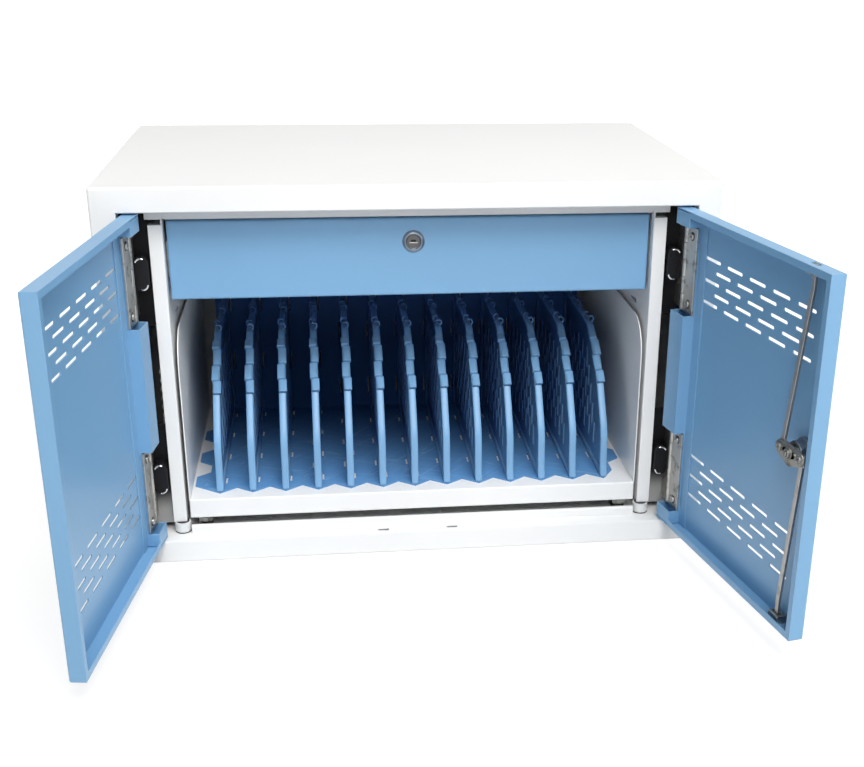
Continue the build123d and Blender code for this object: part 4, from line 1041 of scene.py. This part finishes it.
class CABINET_OT_set_stage(bpy.types.Operator):
    """Lay the floor, hang the lights and set the camera"""

    bl_idname = "cabinet.set_stage"
    bl_label = "Set stage"

    def execute(self, context):
        stage = context.scene.cabinet.stage
        scene = context.scene
        scene.view_settings.view_transform = "Standard"
        half = stage.floor_size / 2
        mesh = bpy.data.meshes.new("floor")
        corners = [(-half, -half, 0), (half, -half, 0), (half, half, 0), (-half, half, 0)]
        mesh.from_pydata(corners, [], [(0, 1, 2, 3)])
        mesh.materials.append(floor_material())
        add_object(scene, "floor", mesh)
        scene.world = bpy.data.worlds.new("studio")
        world_light(scene.world, stage.sky)
        area_light(scene, "key_light", stage.key_power, 2.2, (0.70, -1.76, 3.26))
        area_light(scene, "front_light", stage.front_power, 2.0, (0, -2.6, 2.6))
        area_light(scene, "side_light", stage.side_power, 2.0, (3.0, -1.0, 1.2))
        behind = area_light(scene, "back_light", stage.back_power, 2.4, (0.3, 3.0, 1.1))
        behind.visible_glossy = False
        camera = bpy.data.cameras.new("camera")
        camera.sensor_width = SENSOR_WIDTH
        camera.lens = CAMERA_FOCAL / FRAME_WIDTH * SENSOR_WIDTH
        camera.shift_x = (FRAME_WIDTH / 2 - CAMERA_CENTRE[0]) / FRAME_WIDTH
        camera.shift_y = (CAMERA_CENTRE[1] - FRAME_HEIGHT / 2) / FRAME_WIDTH
        scene.camera = add_object(scene, "camera", camera)
        scene.camera.matrix_world = camera_pose()
        return {"FINISHED"}


LIGHT_AIM = (0, 0, 0.2)
SENSOR_WIDTH = 36
FRAME_WIDTH, FRAME_HEIGHT = 864, 767
CAMERA_FOCAL = 1266.0  # focal length in units of a pixel of the frame
CAMERA_CENTRE = (488.1, 452.3)  # where the camera's axis meets the frame
CAMERA_PLACE = (-0.08609, -1.386, 0.6086)
CAMERA_TURNS = (0.3934, 0.01358, 0.1323)  # pitch down, roll and heading


def camera_pose():
    """Camera's place and turn: heading about Z, pitch about X, then roll about Y, from a view along +Y."""
    pitch, roll, heading = CAMERA_TURNS
    turn = Matrix.Rotation(roll, 3, "Y") @ Matrix.Rotation(pitch, 3, "X") @ Matrix.Rotation(heading, 3, "Z")
    right, ahead, up = turn
    pose = Matrix((right, up, -ahead)).transposed().to_4x4()
    pose.translation = CAMERA_PLACE
    return pose


def area_light(scene, name, strength, size, place):
    """Adds a square area light that faces the cabinet, and returns it."""
    data = bpy.data.lights.new(name, "AREA")
    data.energy = strength
    data.size = size
    light = add_object(scene, name, data)
    light.location = place
    light.rotation_euler = (Vector(LIGHT_AIM) - Vector(place)).to_track_quat("-Z", "Y").to_euler()
    return light


def background_rays(tree):
    """Returns 1 for rays that show a background: from the camera, off gloss or through glass."""
    path = add(tree, "LightPath")
    seen = maths(tree, "MAXIMUM", path.outputs["Is Camera Ray"], path.outputs["Is Glossy Ray"])
    return maths(tree, "MAXIMUM", seen, path.outputs["Is Transmission Ray"])


def choose_for_background(tree, output, plain, shown):
    """Gives an output one shader for the light and another for the rays that show a background."""
    choose = add(tree, "MixShader")
    for socket, value in zip(choose.inputs, (background_rays(tree), plain.outputs[0], shown.outputs[0])):
        tree.links.new(value, socket)
    tree.links.new(choose.outputs[0], output.inputs[0])


def floor_material():
    """White floor that keeps a soft shadow: it glows, more so further out, and takes a little light."""
    material, tree, output = blank_material("floor_white")
    plain = add(tree, "BsdfDiffuse", Color=(0.8, 0.8, 0.8))
    lit = add(tree, "BsdfDiffuse", Color=(0.3, 0.3, 0.3))
    outwards = ramp(tree, vector_maths(tree, "LENGTH", place_vector(tree)), 0.5, 1.3)
    glow = add(tree, "Emission", Color=(1, 1, 1),
               Strength=maths(tree, "MULTIPLY_ADD", outwards, 0.3, 0.8))
    both = add(tree, "AddShader")
    tree.links.new(lit.outputs[0], both.inputs[0])
    tree.links.new(glow.outputs[0], both.inputs[1])
    choose_for_background(tree, output, plain, both)
    return material


def world_light(world, strength):
    """Even light all round, which shows as white behind the object and as a dim ceiling in its gloss."""
    world.use_nodes = True
    tree = world.node_tree
    tree.nodes.clear()
    output = add(tree, "OutputWorld")
    sky = add(tree, "Background", Color=(0.95, 0.98, 1.0), Strength=strength)
    direction = add(tree, "TexCoord").outputs["Generated"]
    glossy = add(tree, "LightPath").outputs["Is Glossy Ray"]
    ceiling = maths(tree, "MULTIPLY", ramp(tree, along_axis(tree, direction, "Z"), 0.25, 0.7), glossy)
    white = add(tree, "Background", Color=(1, 1, 1),
                Strength=maths(tree, "MULTIPLY_ADD", ceiling, -0.85, 1.0))
    choose_for_background(tree, output, sky, white)


OPERATORS = (
    CABINET_OT_paint_sheet,
    CABINET_OT_mould_bays,
    CABINET_OT_plate_metal,
    CABINET_OT_stand_dividers,
    CABINET_OT_fit_hinges,
    CABINET_OT_fit_screws,
    CABINET_OT_fit_drawer_lock,
    CABINET_OT_fit_rod_lock,
    CABINET_OT_set_stage,
)


class CABINET_PT_sidebar(bpy.types.Panel):
    """Sidebar panel that lists the cabinet's settings and steps"""

    bl_idname = "CABINET_PT_sidebar"
    bl_label = "Phone cabinet"
    bl_space_type = "VIEW_3D"
    bl_region_type = "UI"
    bl_category = "Cabinet"

    def draw(self, context):
        for group in ("paint", "metal", "stage"):
            settings = getattr(context.scene.cabinet, group)
            column = self.layout.column(heading=group.title())
            for key in settings.__annotations__:
                column.prop(settings, key)
        for step in OPERATORS:
            self.layout.operator(step.bl_idname)


CLASSES = (PaintSettings, MetalSettings, StageSettings, CabinetSettings, *OPERATORS, CABINET_PT_sidebar)


def register():
    """Registers the classes and the scene's settings."""
    for item in CLASSES:
        bpy.utils.register_class(item)
    bpy.types.Scene.cabinet = PointerProperty(type=CabinetSettings)


def unregister():
    """Removes the scene's settings and the classes."""
    del bpy.types.Scene.cabinet
    for item in reversed(CLASSES):
        bpy.utils.unregister_class(item)


def main():
    """Registers the add-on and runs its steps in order."""
    register()
    for step in OPERATORS:
        getattr(bpy.ops.cabinet, step.bl_idname.split(".")[1])()


if __name__ == "__main__":
    main()
